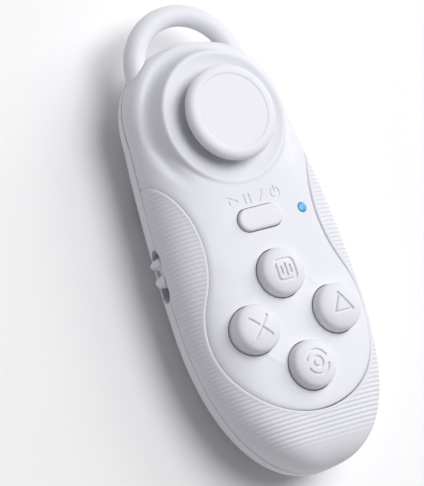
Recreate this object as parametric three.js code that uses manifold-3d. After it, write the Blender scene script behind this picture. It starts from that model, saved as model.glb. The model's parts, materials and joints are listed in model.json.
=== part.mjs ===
// A one-hand VR motion controller: two AAA cells in the grip, a thumb stick on the head, four
// action keys in a diamond, a start key, a mode slider at the left, two finger keys under the
// head and an eye for a wrist strap.
//
// Millimetres. The controller lies on its back: +Z is up out of the face, +Y runs from the grip
// to the strap eye, and the origin is under the middle of its bounding box.

import * as THREE from "three";
import { mergeVertices } from "three/addons/utils/BufferGeometryUtils.js";
import Module from "manifold-3d";

const wasm = await Module();
wasm.setup();

// ---------------------------------------------------------------- driving dimensions

const GAP = 0.3; // between neighbouring pieces
const WALL = 1.9; // housing wall

const LENGTH = 111.2; // grip end to the strap eye's far side
const FACE_Z = 21.8; // face height over the table
const PARTING_Z = 11.8; // where the upper and lower mouldings meet
const UPPER_RISE = FACE_Z - PARTING_Z;
const LOWER_DROP = 12.6; // the lower curve's own depth, cut flat at the table
const FACE_LEVEL_TO = -38; // the face stays level to here, then rounds down to the grip's end
const FACE_FALL_POWER = 3.2;
const SHOULDER_FROM = -30; // from here the upper section gets squarer towards the grip's end
const SHOULDER_RUN = 20;

const GRIP_HALF = 23.2; // widest half-width
const GRIP_Y = -17.25; // where that is
const GRIP_REACH = LENGTH / 2 + GRIP_Y; // from there to the grip end
const GRIP_POWER = 2.15;

const HEAD_HALF = 20.4;
const HEAD_REACH = 19.9; // stick centre to the head end
const HEAD_POWER = 2.3;

const STICK_Y = 26.15;
const PIVOT_Z = 13.7;
const CAP_R = 11.2;
const CAP_TOP = 4.4; // over the face
const SKIRT_R = 9;
const SKIRT_EDGE_DEG = 66;
const BOWL_CREST_R = 15.2;
const BOWL_CREST = 0.1; // over the face
const BOWL_MOUTH_R = 7.4;
const PEDESTAL_R = 17.5; // at its foot
const CAN_HALF = 7.4; // the stick module's metal frame
const CAN_TOP = 15.1;
const AXLE_R = 1.2;

const KEYS_Y = -22.2; // centre of the diamond
const KEY_SPREAD = 10.9; // from that centre to each key's centre
const KEY_R = 5.6;
const KEY_RISE = 3.6;
const KEY_FLANGE_Z = 17.5;

const START_Y = 1.9;
const START_LONG = 11.5;
const START_WIDE = 5.2;
const START_RISE = 0.9;

const LED_X = 11.8;
const LED_R = 1.15;

const SEAM_RING_R = 20.8; // the seam's lower arc, around the diamond
const SEAM_WAIST_X = 41.5; // centre of its side arcs, which touch the lower arc
const SEAM_WAIST_Y = -0.4;
const SEAM_WAIST_R = Math.hypot(SEAM_WAIST_X, KEYS_Y - SEAM_WAIST_Y) - SEAM_RING_R;
const SEAM_END_X = 21.8; // where the side arcs leave the housing

const LOOP_R = 13.3; // strap eye centre line
const LOOP_TUBE_R = 2.5;
const LOOP_Y = LENGTH / 2 - LOOP_R - LOOP_TUBE_R;
const LOOP_Z = 12.7;
const LOOP_STEPS = 20;
const LOOP_BAR_Y = 38.2; // the cross bar that holds the eye in the head
const LOOP_BAR_HALF_Y = 0.8;
const LOOP_BAR_HALF_Z = 0.9;

const SLIDER_Z = 10.3;
const SLIDER_SLOT = [-9.85, 2.35]; // along Y
const SLIDER_SLOT_HIGH = 4.5;
const SLIDER_KNOB = [-6.55, 0.55];
const SLIDER_KNOB_X = -23.1; // the knob's outermost face

const BOARD_Z = 14.2;
const BOARD_THICK = 1.0;
const BOARD_END_Y = 10.2;
const MAT_Z = BOARD_Z + BOARD_THICK + GAP;
const MAT_THICK = 0.6;
const HEAD_BOARD_Z = 8.8;
const HEAD_BOARD_Y = [15.2, 37];
const BOARD_SCREWS = [
  [0, KEYS_Y],
  [0, -39.4],
];

const CELL_R = 5.25; // AAA cell
const CELL_LONG = 44.5;
const CELL_X = 5.6;
const CELL_Z = 7.9;
const TRAY = { x: 11.7, y0: -42.9, y1: 7.3, top: 13.9, low: 5.6, wall: 0.7 };

const DOOR_HALF = 11;
const DOOR_Y = [-42, 7];

const TRIGGER_HALF = 8;
const TRIGGER_RISE = 0.8; // how far the finger keys stand out of the shell
const LOWER_TRIGGER_Y = [19.2, 25.8];
const UPPER_TRIGGER_Y = [26.9, 33.5];
const LOWER_PLATE_Z = 5.9; // underside of each key's inner plate
const UPPER_PLATE_Z = 6.9;

const SCREWS = [
  [0, -48.4],
  [-14.8, 12.5],
  [14.8, 12.5],
  [0, 41.5],
];
const BOSS_R = 2.2;
const SCREW_R = 1;
const SCREW_HEAD_R = 1.9;
const SCREW_TOP = 16.8;
const SCREW_HOLE_TOP = SCREW_TOP + 0.6;

const OUTER_POINTS = 28; // around one section
const INNER_POINTS = 20;

// ---------------------------------------------------------------- materials

function plastic(color, roughness = 0.45) {
  return new THREE.MeshStandardMaterial({ color, roughness, metalness: 0 });
}

function metal(color, roughness = 0.3) {
  return new THREE.MeshStandardMaterial({ color, roughness, metalness: 1 });
}

const WHITE = 0xf0f0f4;
const KEY_WHITE = 0xf5f5f8;
const GREY_PLASTIC = 0x3a3b40;

// ---------------------------------------------------------------- geometry helpers

// A three.js geometry as a manifold-3d solid.
function solid(geometry) {
  const bare = geometry.clone();
  bare.deleteAttribute("normal");
  bare.deleteAttribute("uv");
  const merged = mergeVertices(bare, 1e-4);
  return new wasm.Manifold(
    new wasm.Mesh({
      numProp: 3,
      vertProperties: new Float32Array(merged.attributes.position.array),
      triVerts: new Uint32Array(merged.index.array),
    }),
  );
}

// A manifold-3d solid as a three.js geometry.
function geometryOf(made) {
  const mesh = made.getMesh();
  const geometry = new THREE.BufferGeometry();
  geometry.setAttribute("position", new THREE.BufferAttribute(mesh.vertProperties, 3));
  geometry.setIndex(new THREE.BufferAttribute(mesh.triVerts, 1));
  geometry.computeVertexNormals();
  return geometry;
}

function box(low, high) {
  const size = high.map((v, i) => v - low[i]);
  const middle = high.map((v, i) => (v + low[i]) / 2);
  return solid(new THREE.BoxGeometry(...size).translate(...middle));
}

function rod(radius, low, high, x, y, sides = 20) {
  const geometry = new THREE.CylinderGeometry(radius, radius, high - low, sides);
  return solid(geometry.rotateX(Math.PI / 2).translate(x, y, (low + high) / 2));
}

// A rod along the X or the Y axis, between two places on it.
function crossRod(axis, radius, low, high, at, sides = 16) {
  const geometry = new THREE.CylinderGeometry(radius, radius, high - low, sides);
  if (axis === "x") geometry.rotateZ(Math.PI / 2).translate((low + high) / 2, at[0], at[1]);
  else geometry.translate(at[0], (low + high) / 2, at[1]);
  return solid(geometry);
}

// A plan outline raised from one height to another.
function prism(shape, low, high, curveSegments = 6) {
  const options = { depth: high - low, bevelEnabled: false, curveSegments };
  return solid(new THREE.ExtrudeGeometry(shape, options).translate(0, 0, low));
}

// A rounded rectangle in plan.
function roundedRect(x0, x1, y0, y1, r) {
  const shape = new THREE.Shape();
  shape.absarc(x1 - r, y0 + r, r, -Math.PI / 2, 0);
  shape.absarc(x1 - r, y1 - r, r, 0, Math.PI / 2);
  shape.absarc(x0 + r, y1 - r, r, Math.PI / 2, Math.PI);
  shape.absarc(x0 + r, y0 + r, r, Math.PI, Math.PI * 1.5);
  return shape;
}

// A turned piece about a vertical axis, from [radius, height] pairs going up its outside.
function turned(profile, x, y, z, sides = 28) {
  const points = profile.map(([r, h]) => new THREE.Vector2(r, h));
  const geometry = new THREE.LatheGeometry(points, sides);
  return solid(geometry.rotateX(Math.PI / 2).translate(x, y, z));
}

// Turns an extruded shape so that its own x and y become Y and Z, and its depth runs along +X.
const SIDE_ON = new THREE.Matrix4().makeBasis(
  new THREE.Vector3(0, 1, 0),
  new THREE.Vector3(0, 0, 1),
  new THREE.Vector3(1, 0, 0),
);

// A bar of round section along a curve.
function bar(radius, curve, steps, sides = 8) {
  const section = new THREE.Shape();
  for (let i = 0; i < sides; i++) {
    const a = (2 * Math.PI * i) / sides;
    if (i) section.lineTo(radius * Math.cos(a), radius * Math.sin(a));
    else section.moveTo(radius, 0);
  }
  return solid(new THREE.ExtrudeGeometry(section, { extrudePath: curve, steps, bevelEnabled: false }));
}

// A coil spring along Y, from one end to the other.
function coilAlongY(x, z, low, high, radius, wire, turns) {
  const points = [];
  const steps = turns * 8;
  for (let i = 0; i <= steps; i++) {
    const a = (2 * Math.PI * i) / 8;
    const y = low + ((high - low) * i) / steps;
    points.push(new THREE.Vector3(x + radius * Math.cos(a), y, z + radius * Math.sin(a)));
  }
  return bar(wire, new THREE.CatmullRomCurve3(points), steps, 6);
}

// ---------------------------------------------------------------- the housing's outer form

function fall(t, power) {
  return Math.pow(Math.max(0, 1 - Math.pow(Math.max(0, t), power)), 1 / power);
}

// The half-width between the grip's widest point and the head.
const WAIST = new THREE.SplineCurve([
  new THREE.Vector2(GRIP_Y, GRIP_HALF),
  new THREE.Vector2(-8, 23),
  new THREE.Vector2(2, 22.4),
  new THREE.Vector2(11, 21.7),
  new THREE.Vector2(19, 21),
  new THREE.Vector2(STICK_Y, HEAD_HALF),
]);
const WAIST_SAMPLES = WAIST.getPoints(90);

function waistAt(y) {
  const i = WAIST_SAMPLES.findIndex((p) => p.x >= y);
  const a = WAIST_SAMPLES[Math.max(0, i - 1)];
  const b = WAIST_SAMPLES[Math.max(1, i)];
  return a.y + ((b.y - a.y) * (y - a.x)) / (b.x - a.x);
}

// The housing's section at a place along Y, set in by a wall's thickness.
function sectionAt(y, inset) {
  let half = waistAt(Math.min(Math.max(y, GRIP_Y), STICK_Y)) - inset;
  if (y < GRIP_Y) {
    half = (GRIP_HALF - inset) * fall((GRIP_Y - y) / (GRIP_REACH - inset), GRIP_POWER);
  }
  if (y > STICK_Y) {
    half = (HEAD_HALF - inset) * fall((y - STICK_Y) / (HEAD_REACH - inset), HEAD_POWER);
  }
  let rise = 1;
  if (y < FACE_LEVEL_TO) {
    rise = fall((FACE_LEVEL_TO - y) / (LENGTH / 2 + FACE_LEVEL_TO - inset), FACE_FALL_POWER);
  }
  if (y > STICK_Y) rise = fall((y - STICK_Y) / (HEAD_REACH - inset), 2.6);
  let drop = 1;
  if (y < -18) drop = fall((-18 - y) / (LENGTH / 2 - 18 - inset), 3);
  if (y > 2) drop = fall((y - 2) / (STICK_Y + HEAD_REACH - 2 - inset), 1.6);
  const head = THREE.MathUtils.smoothstep(y, 0, STICK_Y);
  const shoulder = THREE.MathUtils.clamp((SHOULDER_FROM - y) / SHOULDER_RUN, 0, 1);
  return {
    half,
    rise: rise * (UPPER_RISE - inset),
    drop: drop * (LOWER_DROP - inset),
    upperPower: 3 - 0.4 * head + shoulder,
    lowerPower: 2.3 + 0.3 * head,
    floor: inset,
  };
}

function ringAt(y, inset, count) {
  const s = sectionAt(y, inset);
  const ring = [];
  for (let i = 0; i < count; i++) {
    const a = (2 * Math.PI * i) / count;
    const c = Math.cos(a);
    const d = Math.sin(a);
    const power = 2 / (d >= 0 ? s.upperPower : s.lowerPower);
    const x = s.half * Math.sign(c) * Math.pow(Math.abs(c), power);
    const up = Math.pow(Math.abs(d), power);
    const z = d >= 0 ? PARTING_Z + s.rise * up : Math.max(s.floor, PARTING_Z - s.drop * up);
    ring.push(new THREE.Vector3(Math.abs(c) < 1e-9 ? 0 : x, y, z));
  }
  return ring;
}

// The places along Y where a section is taken, closer together towards both ends.
function stations(inset) {
  const places = [];
  for (let i = 9; i >= 1; i--) {
    const reach = Math.pow(Math.sin((i / 10) * (Math.PI / 2)), 2 / GRIP_POWER);
    places.push(GRIP_Y - (GRIP_REACH - inset) * reach);
  }
  for (let i = 0; i <= 6; i++) places.push(GRIP_Y + ((STICK_Y - GRIP_Y) * i) / 6);
  for (let i = 1; i <= 7; i++) {
    const reach = Math.pow(Math.sin((i / 8) * (Math.PI / 2)), 2 / HEAD_POWER);
    places.push(STICK_Y + (HEAD_REACH - inset) * reach);
  }
  return places;
}

// The whole housing as one closed form, set in by a wall's thickness.
function housingForm(inset, n = OUTER_POINTS) {
  const rings = stations(inset).map((y) => ringAt(y, inset, n));
  const points = rings.flat();
  const first = points.push(new THREE.Vector3(0, GRIP_Y - GRIP_REACH + inset, PARTING_Z)) - 1;
  const last = points.push(new THREE.Vector3(0, STICK_Y + HEAD_REACH - inset, PARTING_Z)) - 1;
  const faces = [];
  for (let r = 0; r + 1 < rings.length; r++) {
    for (let i = 0; i < n; i++) {
      const a = r * n + i;
      const b = r * n + ((i + 1) % n);
      faces.push(a, a + n, b, b, a + n, b + n);
    }
  }
  const end = (rings.length - 1) * n;
  for (let i = 0; i < n; i++) {
    faces.push(first, i, (i + 1) % n);
    faces.push(last, end + ((i + 1) % n), end + i);
  }
  const geometry = new THREE.BufferGeometry().setFromPoints(points);
  return solid(geometry.setIndex(faces));
}

const OUTSIDE = housingForm(0);
const INSIDE = housingForm(WALL, INNER_POINTS);
const SKIN = OUTSIDE.subtract(INSIDE);
const FAR = 80;

// Everything inside the seam, in plan, moved outwards by an amount.
function seamOutline(out) {
  const touch = Math.atan2(SEAM_WAIST_Y - KEYS_Y, SEAM_WAIST_X);
  const ringR = SEAM_RING_R + out;
  const waistR = SEAM_WAIST_R - out;
  const top = Math.acos((SEAM_WAIST_X - SEAM_END_X) / waistR);
  const endY = SEAM_WAIST_Y + waistR * Math.sin(top);
  const shape = new THREE.Shape();
  shape.absarc(0, KEYS_Y, ringR, -Math.PI / 2, touch);
  shape.absarc(SEAM_WAIST_X, SEAM_WAIST_Y, waistR, Math.PI + touch, Math.PI - top, true);
  shape.lineTo(FAR, endY);
  shape.lineTo(FAR, FAR);
  shape.lineTo(-FAR, FAR);
  shape.lineTo(-FAR, endY);
  shape.absarc(-SEAM_WAIST_X, SEAM_WAIST_Y, waistR, top, -touch, true);
  shape.absarc(0, KEYS_Y, ringR, Math.PI - touch, Math.PI * 1.5);
  return shape;
}

// ---------------------------------------------------------------- openings in the housing

const KEY_CENTRES = {
  top_button: [0, KEYS_Y + KEY_SPREAD],
  left_button: [-KEY_SPREAD, KEYS_Y],
  right_button: [KEY_SPREAD, KEYS_Y],
  bottom_button: [0, KEYS_Y - KEY_SPREAD],
};

function pill(long, wide, y) {
  return roundedRect(-long / 2, long / 2, y - wide / 2, y + wide / 2, wide / 2 - 0.01);
}

// The strap eye with its cross bar inside the head, thickened by an amount.
function loopForm(out) {
  const bar = { y: LOOP_BAR_HALF_Y + out, z: LOOP_BAR_HALF_Z + out };
  const foot = LOOP_BAR_Y - bar.y;
  const points = [new THREE.Vector3(LOOP_R, foot, LOOP_Z)];
  for (let i = 0; i <= LOOP_STEPS; i++) {
    const a = (Math.PI * i) / LOOP_STEPS;
    points.push(new THREE.Vector3(LOOP_R * Math.cos(a), LOOP_Y + LOOP_R * Math.sin(a), LOOP_Z));
  }
  points.push(new THREE.Vector3(-LOOP_R, foot, LOOP_Z));
  const cross = box(
    [-LOOP_R, LOOP_BAR_Y - bar.y, LOOP_Z - bar.z],
    [LOOP_R, LOOP_BAR_Y + bar.y, LOOP_Z + bar.z],
  );
  return loopTube(points, LOOP_TUBE_R + out, 12).add(cross);
}

// A round tube whose rings stand square to the path at each of its points.
function loopTube(points, radius, sides) {
  const rings = points.map((p, i) => {
    const before = points[Math.max(0, i - 1)];
    const after = points[Math.min(points.length - 1, i + 1)];
    const along = after.clone().sub(before).normalize();
    const across = new THREE.Vector3(along.y, -along.x, 0);
    const ring = [];
    for (let k = 0; k < sides; k++) {
      const a = (2 * Math.PI * k) / sides;
      const out = across.clone().multiplyScalar(radius * Math.cos(a));
      ring.push(p.clone().add(out).add(new THREE.Vector3(0, 0, radius * Math.sin(a))));
    }
    return ring;
  });
  const all = rings.flat();
  const start = all.push(points[0].clone()) - 1;
  const stop = all.push(points[points.length - 1].clone()) - 1;
  const faces = [];
  for (let r = 0; r + 1 < rings.length; r++) {
    for (let k = 0; k < sides; k++) {
      const a = r * sides + k;
      const b = r * sides + ((k + 1) % sides);
      faces.push(a, a + sides, b, b, a + sides, b + sides);
    }
  }
  const end = (rings.length - 1) * sides;
  for (let k = 0; k < sides; k++) {
    faces.push(start, k, (k + 1) % sides);
    faces.push(stop, end + ((k + 1) % sides), end + k);
  }
  const geometry = new THREE.BufferGeometry().setFromPoints(all);
  return solid(geometry.setIndex(faces));
}

// The slot for the mode slider, cut in from the left.
function sliderSlot() {
  const [y0, y1] = SLIDER_SLOT;
  const high = SLIDER_SLOT_HIGH / 2;
  const shape = roundedRect(y0, y1, SLIDER_Z - high, SLIDER_Z + high, high - 0.01);
  const options = { depth: 8, bevelEnabled: false, curveSegments: 5 };
  const geometry = new THREE.ExtrudeGeometry(shape, options);
  return solid(geometry.applyMatrix4(SIDE_ON).translate(-25, 0, 0));
}

const LOOP_CUT = loopForm(GAP);
const SLOT_CUT = sliderSlot();

// ---------------------------------------------------------------- housing pieces

function bowlRing() {
  const r = BOWL_CREST_R;
  return turned(
    [
      [BOWL_MOUTH_R, -2.9],
      [10, -3],
      [13.4, -3.2],
      [r, -5.4],
      [PEDESTAL_R - 0.4, -5.6],
      [PEDESTAL_R, -4.6],
      [PEDESTAL_R - 0.8, -2.6],
      [r + 0.8, -0.6],
      [r + 0.3, BOWL_CREST - 0.05],
      [r - 0.3, BOWL_CREST],
      [r - 1.2, -0.45],
      [r - 2.4, -1.15],
      [10.5, -1.85],
      [BOWL_MOUTH_R, -2.15],
      [BOWL_MOUTH_R, -2.9],
    ],
    0,
    STICK_Y,
    FACE_Z,
    32,
  );
}

// A column for a housing screw, down from the face to just above the parting line.
function upperBoss([x, y]) {
  return rod(BOSS_R, PARTING_Z + GAP, FACE_Z - 1, x, y, 12).intersect(OUTSIDE);
}

function faceCover() {
  let cover = SKIN.intersect(box([-FAR, -FAR, PARTING_Z + GAP / 2], [FAR, FAR, FAR]));
  cover = cover.intersect(prism(seamOutline(-GAP / 2), 0, FAR, 20));
  cover = cover.subtract(rod(BOWL_CREST_R + 0.3, PARTING_Z, FAR, 0, STICK_Y, 32));
  cover = cover.add(bowlRing());
  for (const place of SCREWS.slice(1)) cover = cover.add(upperBoss(place));
  for (const [x, y] of Object.values(KEY_CENTRES)) {
    cover = cover.subtract(rod(KEY_R + GAP, PARTING_Z, FAR, x, y, 24));
  }
  const startHole = pill(START_LONG + 2 * GAP, START_WIDE + 2 * GAP, START_Y);
  cover = cover.subtract(prism(startHole, PARTING_Z, FAR, 5));
  cover = cover.subtract(rod(LED_R + GAP, PARTING_Z, FAR, LED_X, START_Y, 14));
  for (const [x, y] of SCREWS) cover = cover.subtract(rod(SCREW_R + GAP, 0, SCREW_HOLE_TOP, x, y, 12));
  return cover.subtract(LOOP_CUT);
}

function gripBand() {
  let band = SKIN.intersect(box([-FAR, -FAR, PARTING_Z + GAP / 2], [FAR, 15.6, FAR]));
  band = band.subtract(prism(seamOutline(GAP / 2), 0, FAR, 20));
  band = band.add(upperBoss(SCREWS[0]));
  const [x, y] = SCREWS[0];
  band = band.subtract(rod(SCREW_R + GAP, 0, SCREW_HOLE_TOP, x, y, 12));
  return band.subtract(SLOT_CUT);
}

function doorOutline(out) {
  const half = DOOR_HALF + out;
  return roundedRect(-half, half, DOOR_Y[0] - out, DOOR_Y[1] + out, 2.5 + out);
}

function triggerOutline([y0, y1], out) {
  return roundedRect(-TRIGGER_HALF - out, TRIGGER_HALF + out, y0 - out, y1 + out, 2.4 + out);
}

function backShell() {
  let shell = SKIN.intersect(box([-FAR, -FAR, -1], [FAR, FAR, PARTING_Z - GAP / 2]));
  for (const [x, y] of SCREWS) {
    const boss = rod(BOSS_R, 0.5, PARTING_Z - GAP, x, y, 14);
    shell = shell.add(boss.intersect(OUTSIDE));
  }
  shell = shell.subtract(prism(doorOutline(GAP), -1, 4.5, 4));
  shell = shell.subtract(prism(triggerOutline(LOWER_TRIGGER_Y, GAP), -1, 8, 4));
  shell = shell.subtract(prism(triggerOutline(UPPER_TRIGGER_Y, GAP), -1, 8.5, 4));
  for (const [x, y] of SCREWS) {
    shell = shell.subtract(rod(SCREW_R + GAP, -1, PARTING_Z, x, y, 12));
    shell = shell.subtract(rod(SCREW_HEAD_R + GAP, -1, screwSeat(x, y) + GAP, x, y, 14));
  }
  return shell.subtract(SLOT_CUT).subtract(LOOP_CUT);
}

// The height at which a housing screw's head sits.
function screwSeat(x, y) {
  const s = sectionAt(y, 0);
  const drop = s.drop * fall(Math.abs(x) / s.half, s.lowerPower);
  return Math.max(0, PARTING_Z - drop) + 2.6;
}

function batteryDoor() {
  const door = SKIN.intersect(prism(doorOutline(0), -1, 4, 4));
  const grip = [];
  for (let i = 0; i < 4; i++) {
    const y = DOOR_Y[1] - 3.2 - 1.5 * i;
    grip.push(box([-4, y - 0.35, -1], [4, y + 0.35, 0.4]));
  }
  return grip.reduce((a, b) => a.subtract(b), door);
}

function housingScrew(x, y) {
  const seat = screwSeat(x, y);
  const head = rod(SCREW_HEAD_R, seat - 1.3, seat, x, y, 14);
  const shank = rod(SCREW_R, seat - 0.1, SCREW_TOP, x, y, 10);
  const cross = box([x - 1.1, y - 0.25, 0], [x + 1.1, y + 0.25, seat - 0.8]);
  const across = box([x - 0.25, y - 1.1, 0], [x + 0.25, y + 1.1, seat - 0.8]);
  return head.add(shank).subtract(cross).subtract(across);
}

// ---------------------------------------------------------------- keys

function keyButton([x, y]) {
  const low = KEY_FLANGE_Z - FACE_Z;
  const edge = KEY_RISE - 1.3;
  const body = turned(
    [
      [0, low],
      [KEY_R, low],
      [KEY_R, edge - 0.4],
      [KEY_R - 0.25, edge + 0.15],
      [KEY_R - 0.9, edge + 0.62],
      [KEY_R - 2.2, KEY_RISE - 0.3],
      [KEY_R - 3.8, KEY_RISE - 0.06],
      [0, KEY_RISE],
    ],
    x,
    y,
    FACE_Z,
    24,
  );
  const ears = box([x - 4.2, y - 6.8, KEY_FLANGE_Z], [x + 4.2, y + 6.8, KEY_FLANGE_Z + 0.7]);
  return body.add(ears);
}

function startButton() {
  const shape = pill(START_LONG - 0.8, START_WIDE - 0.8, START_Y);
  const options = { bevelThickness: 0.4, bevelSize: 0.4, bevelSegments: 2, curveSegments: 5 };
  options.depth = FACE_Z + START_RISE - KEY_FLANGE_Z - 0.8;
  const geometry = new THREE.ExtrudeGeometry(shape, options);
  const body = solid(geometry.translate(0, 0, KEY_FLANGE_Z + 0.4));
  const ears = box(
    [-START_LONG / 2 - 1.2, START_Y - 1.6, KEY_FLANGE_Z + 0.1],
    [START_LONG / 2 + 1.2, START_Y + 1.6, KEY_FLANGE_Z + 0.8],
  );
  return body.add(ears);
}

// A silicone dome that carries a key, standing on the board.
function rubberDome(x, y, radius = 3) {
  const high = KEY_FLANGE_Z - GAP - MAT_Z;
  return turned(
    [
      [0, 0],
      [radius, 0],
      [radius, 0.3],
      [radius * 0.62, high - 0.3],
      [radius * 0.55, high],
      [0, high],
    ],
    x,
    y,
    MAT_Z,
    16,
  );
}

function keypadMat() {
  const shape = new THREE.Shape();
  shape.moveTo(-14, -36.4);
  shape.lineTo(14, -36.4);
  shape.lineTo(14, -8.8);
  shape.lineTo(5, -7.4);
  shape.lineTo(5, 5.8);
  shape.lineTo(-5, 5.8);
  shape.lineTo(-5, -7.4);
  shape.lineTo(-14, -8.8);
  let mat = prism(shape, MAT_Z, MAT_Z + MAT_THICK);
  for (const [x, y] of [...Object.values(KEY_CENTRES), [0, START_Y]]) {
    mat = mat.subtract(rod(3 + GAP, MAT_Z - 1, MAT_Z + 2, x, y, 16));
  }
  return mat.subtract(rod(1.9, MAT_Z - 1, MAT_Z + 2, 0, KEYS_Y, 12));
}

// ---------------------------------------------------------------- boards

function mainBoard() {
  const outline = new THREE.Shape();
  outline.moveTo(-10, -42.8);
  outline.lineTo(10, -42.8);
  outline.lineTo(14.6, -36);
  outline.lineTo(14.6, 5.2);
  outline.lineTo(11, BOARD_END_Y);
  outline.lineTo(-11, BOARD_END_Y);
  outline.lineTo(-14.6, 5.2);
  outline.lineTo(-14.6, -36);
  let board = prism(outline, BOARD_Z, BOARD_Z + BOARD_THICK);
  for (const [x, y] of BOARD_SCREWS) board = board.subtract(rod(1, 0, FAR, x, y, 12));
  return board;
}

function boardScrew(x, y) {
  const top = BOARD_Z + BOARD_THICK + GAP;
  const head = rod(1.4, top, top + 0.7, x, y, 12);
  return head.add(rod(0.7, BOARD_Z - 1.6, top + 0.1, x, y, 10));
}

function headBoard() {
  const outline = roundedRect(-12.6, 12.6, ...HEAD_BOARD_Y, 5);
  return prism(outline, HEAD_BOARD_Z, HEAD_BOARD_Z + BOARD_THICK, 4);
}

// A bent flat cable from the main board down to the head board.
function ribbonCable() {
  const y0 = BOARD_END_Y + GAP;
  const y1 = HEAD_BOARD_Y[0] - GAP;
  const high = BOARD_Z + 0.35;
  const low = HEAD_BOARD_Z + 0.35;
  const shape = new THREE.Shape();
  const path = [
    [y0, high],
    [y0 + 1.6, high],
    [y1 - 1.8, low],
    [y1, low],
  ];
  shape.moveTo(...path[0]);
  for (const p of path.slice(1)) shape.lineTo(...p);
  for (const [y, z] of path.reverse()) shape.lineTo(y + 0.08, z + 0.32);
  const geometry = new THREE.ExtrudeGeometry(shape, { depth: 6, bevelEnabled: false });
  return solid(geometry.applyMatrix4(SIDE_ON).translate(-3, 0, 0));
}

// ---------------------------------------------------------------- thumb stick

function stickCap() {
  const r = CAP_R;
  const t = CAP_TOP;
  const low = t - 3;
  const cap = turned(
    [
      [0, 1.2],
      [3.4, 1.2],
      [3.6, low + 0.1],
      [r - 1.2, low + 0.15],
      [r - 0.4, low + 0.4],
      [r, low + 1],
      [r, low + 2],
      [r - 0.5, t - 0.25],
      [r - 1.3, t],
      [r - 2.3, t - 0.06],
      [r - 3, t - 0.28],
      [0, t - 0.42],
    ],
    0,
    STICK_Y,
    FACE_Z,
    28,
  );
  return cap.subtract(rod(1.1 + GAP, FACE_Z, FACE_Z + 2.9, 0, STICK_Y, 12));
}

function stickSkirt() {
  const inner = SKIRT_R - 1;
  const profile = [];
  const first = Math.asin(1.4 / SKIRT_R);
  const last = THREE.MathUtils.degToRad(SKIRT_EDGE_DEG);
  for (let i = 0; i <= 4; i++) {
    const a = last + ((first - last) * i) / 4;
    profile.push([SKIRT_R * Math.sin(a), SKIRT_R * Math.cos(a)]);
  }
  const innerFirst = Math.asin(1.4 / inner);
  for (let i = 4; i >= 0; i--) {
    const a = last + ((innerFirst - last) * i) / 4;
    profile.push([inner * Math.sin(a), inner * Math.cos(a)]);
  }
  profile.push(profile[0]);
  return turned(profile, 0, STICK_Y, PIVOT_Z, 22);
}

function stickShaft() {
  const ball = solid(new THREE.SphereGeometry(2, 14, 10).translate(0, STICK_Y, PIVOT_Z));
  return ball.add(rod(1.1, PIVOT_Z, FACE_Z + 2.6, 0, STICK_Y, 12));
}

// An arch over the pivot in the XZ plane, with an axle stub at each side.
function archAlongX(inner, outer, half, stubs) {
  const shape = new THREE.Shape();
  shape.absarc(0, 0, outer, 0, Math.PI);
  shape.absarc(0, 0, inner, Math.PI, 0, true);
  const options = { depth: 2 * half, bevelEnabled: false, curveSegments: 14 };
  const geometry = new THREE.ExtrudeGeometry(shape, options);
  let arch = solid(geometry.rotateX(Math.PI / 2).translate(0, half, 0));
  arch = arch.subtract(box([-inner * 0.72, -1.4, 0], [inner * 0.72, 1.4, outer + 1]));
  for (const side of [-1, 1]) {
    const ends = [side * (inner + 0.1), side * stubs].sort((a, b) => a - b);
    const foot = [side * inner, side * outer].sort((a, b) => a - b);
    arch = arch.add(box([foot[0], -1.6, -1.4], [foot[1], 1.6, 0.4]));
    arch = arch.add(crossRod("x", AXLE_R, ends[0], ends[1], [0, 0], 14));
  }
  return arch;
}

function stickYoke() {
  return archAlongX(4.8, 5.8, 2.4, 9.6).translate([0, STICK_Y, PIVOT_Z]);
}

function stickRocker() {
  return archAlongX(2.7, 3.6, 2.4, 9.6).rotate([0, 0, 90]).translate([0, STICK_Y, PIVOT_Z]);
}

function stickFrame() {
  const base = HEAD_BOARD_Z + BOARD_THICK + GAP;
  const h = CAN_HALF;
  const can = box([-h, STICK_Y - h, base], [h, STICK_Y + h, CAN_TOP]);
  const room = box(
    [-h + 0.8, STICK_Y - h + 0.8, base + 0.8],
    [h - 0.8, STICK_Y + h - 0.8, FAR],
  );
  return can
    .subtract(room)
    .subtract(crossRod("x", AXLE_R + GAP, -FAR, FAR, [STICK_Y, PIVOT_Z], 14))
    .subtract(crossRod("y", AXLE_R + GAP, -FAR, FAR, [0, PIVOT_Z], 14));
}

// A rotary sensor on the side of the stick frame, around an axle stub.
function stickPotX() {
  const x0 = CAN_HALF + GAP;
  const wafer = box([x0, STICK_Y - 3.6, 10.4], [x0 + 2.2, STICK_Y + 3.6, CAN_TOP - 0.1]);
  return wafer.subtract(crossRod("x", AXLE_R + GAP, 0, FAR, [STICK_Y, PIVOT_Z], 14));
}

function stickPotY() {
  const y1 = STICK_Y - CAN_HALF - GAP;
  const wafer = box([-3.6, y1 - 2.2, 10.4], [3.6, y1, CAN_TOP - 0.1]);
  return wafer.subtract(crossRod("y", AXLE_R + GAP, 0, STICK_Y, [0, PIVOT_Z], 14));
}

// ---------------------------------------------------------------- finger keys

const PROUD = housingForm(-TRIGGER_RISE);

// A finger key: its face follows the shell's curve a little proud of it, and an inner plate
// wider than the hole keeps it in.
function fingerKey(range, plateZ) {
  const pad = PROUD.intersect(prism(triggerOutline(range, 0), 0.2, plateZ + 0.5, 4));
  const [y0, y1] = range;
  const plate = box([-TRIGGER_HALF - 1.3, y0 + 1, plateZ], [TRIGGER_HALF + 1.3, y1 - 1, plateZ + 0.7]);
  return pad.add(plate);
}

function fingerDome([y0, y1], low) {
  const high = HEAD_BOARD_Z - GAP - low;
  const y = (y0 + y1) / 2;
  return turned([[0, 0], [1.4, 0], [2.2, high * 0.7], [2.2, high], [0, high]], 0, y, low, 14);
}

// ---------------------------------------------------------------- mode slider

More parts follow.
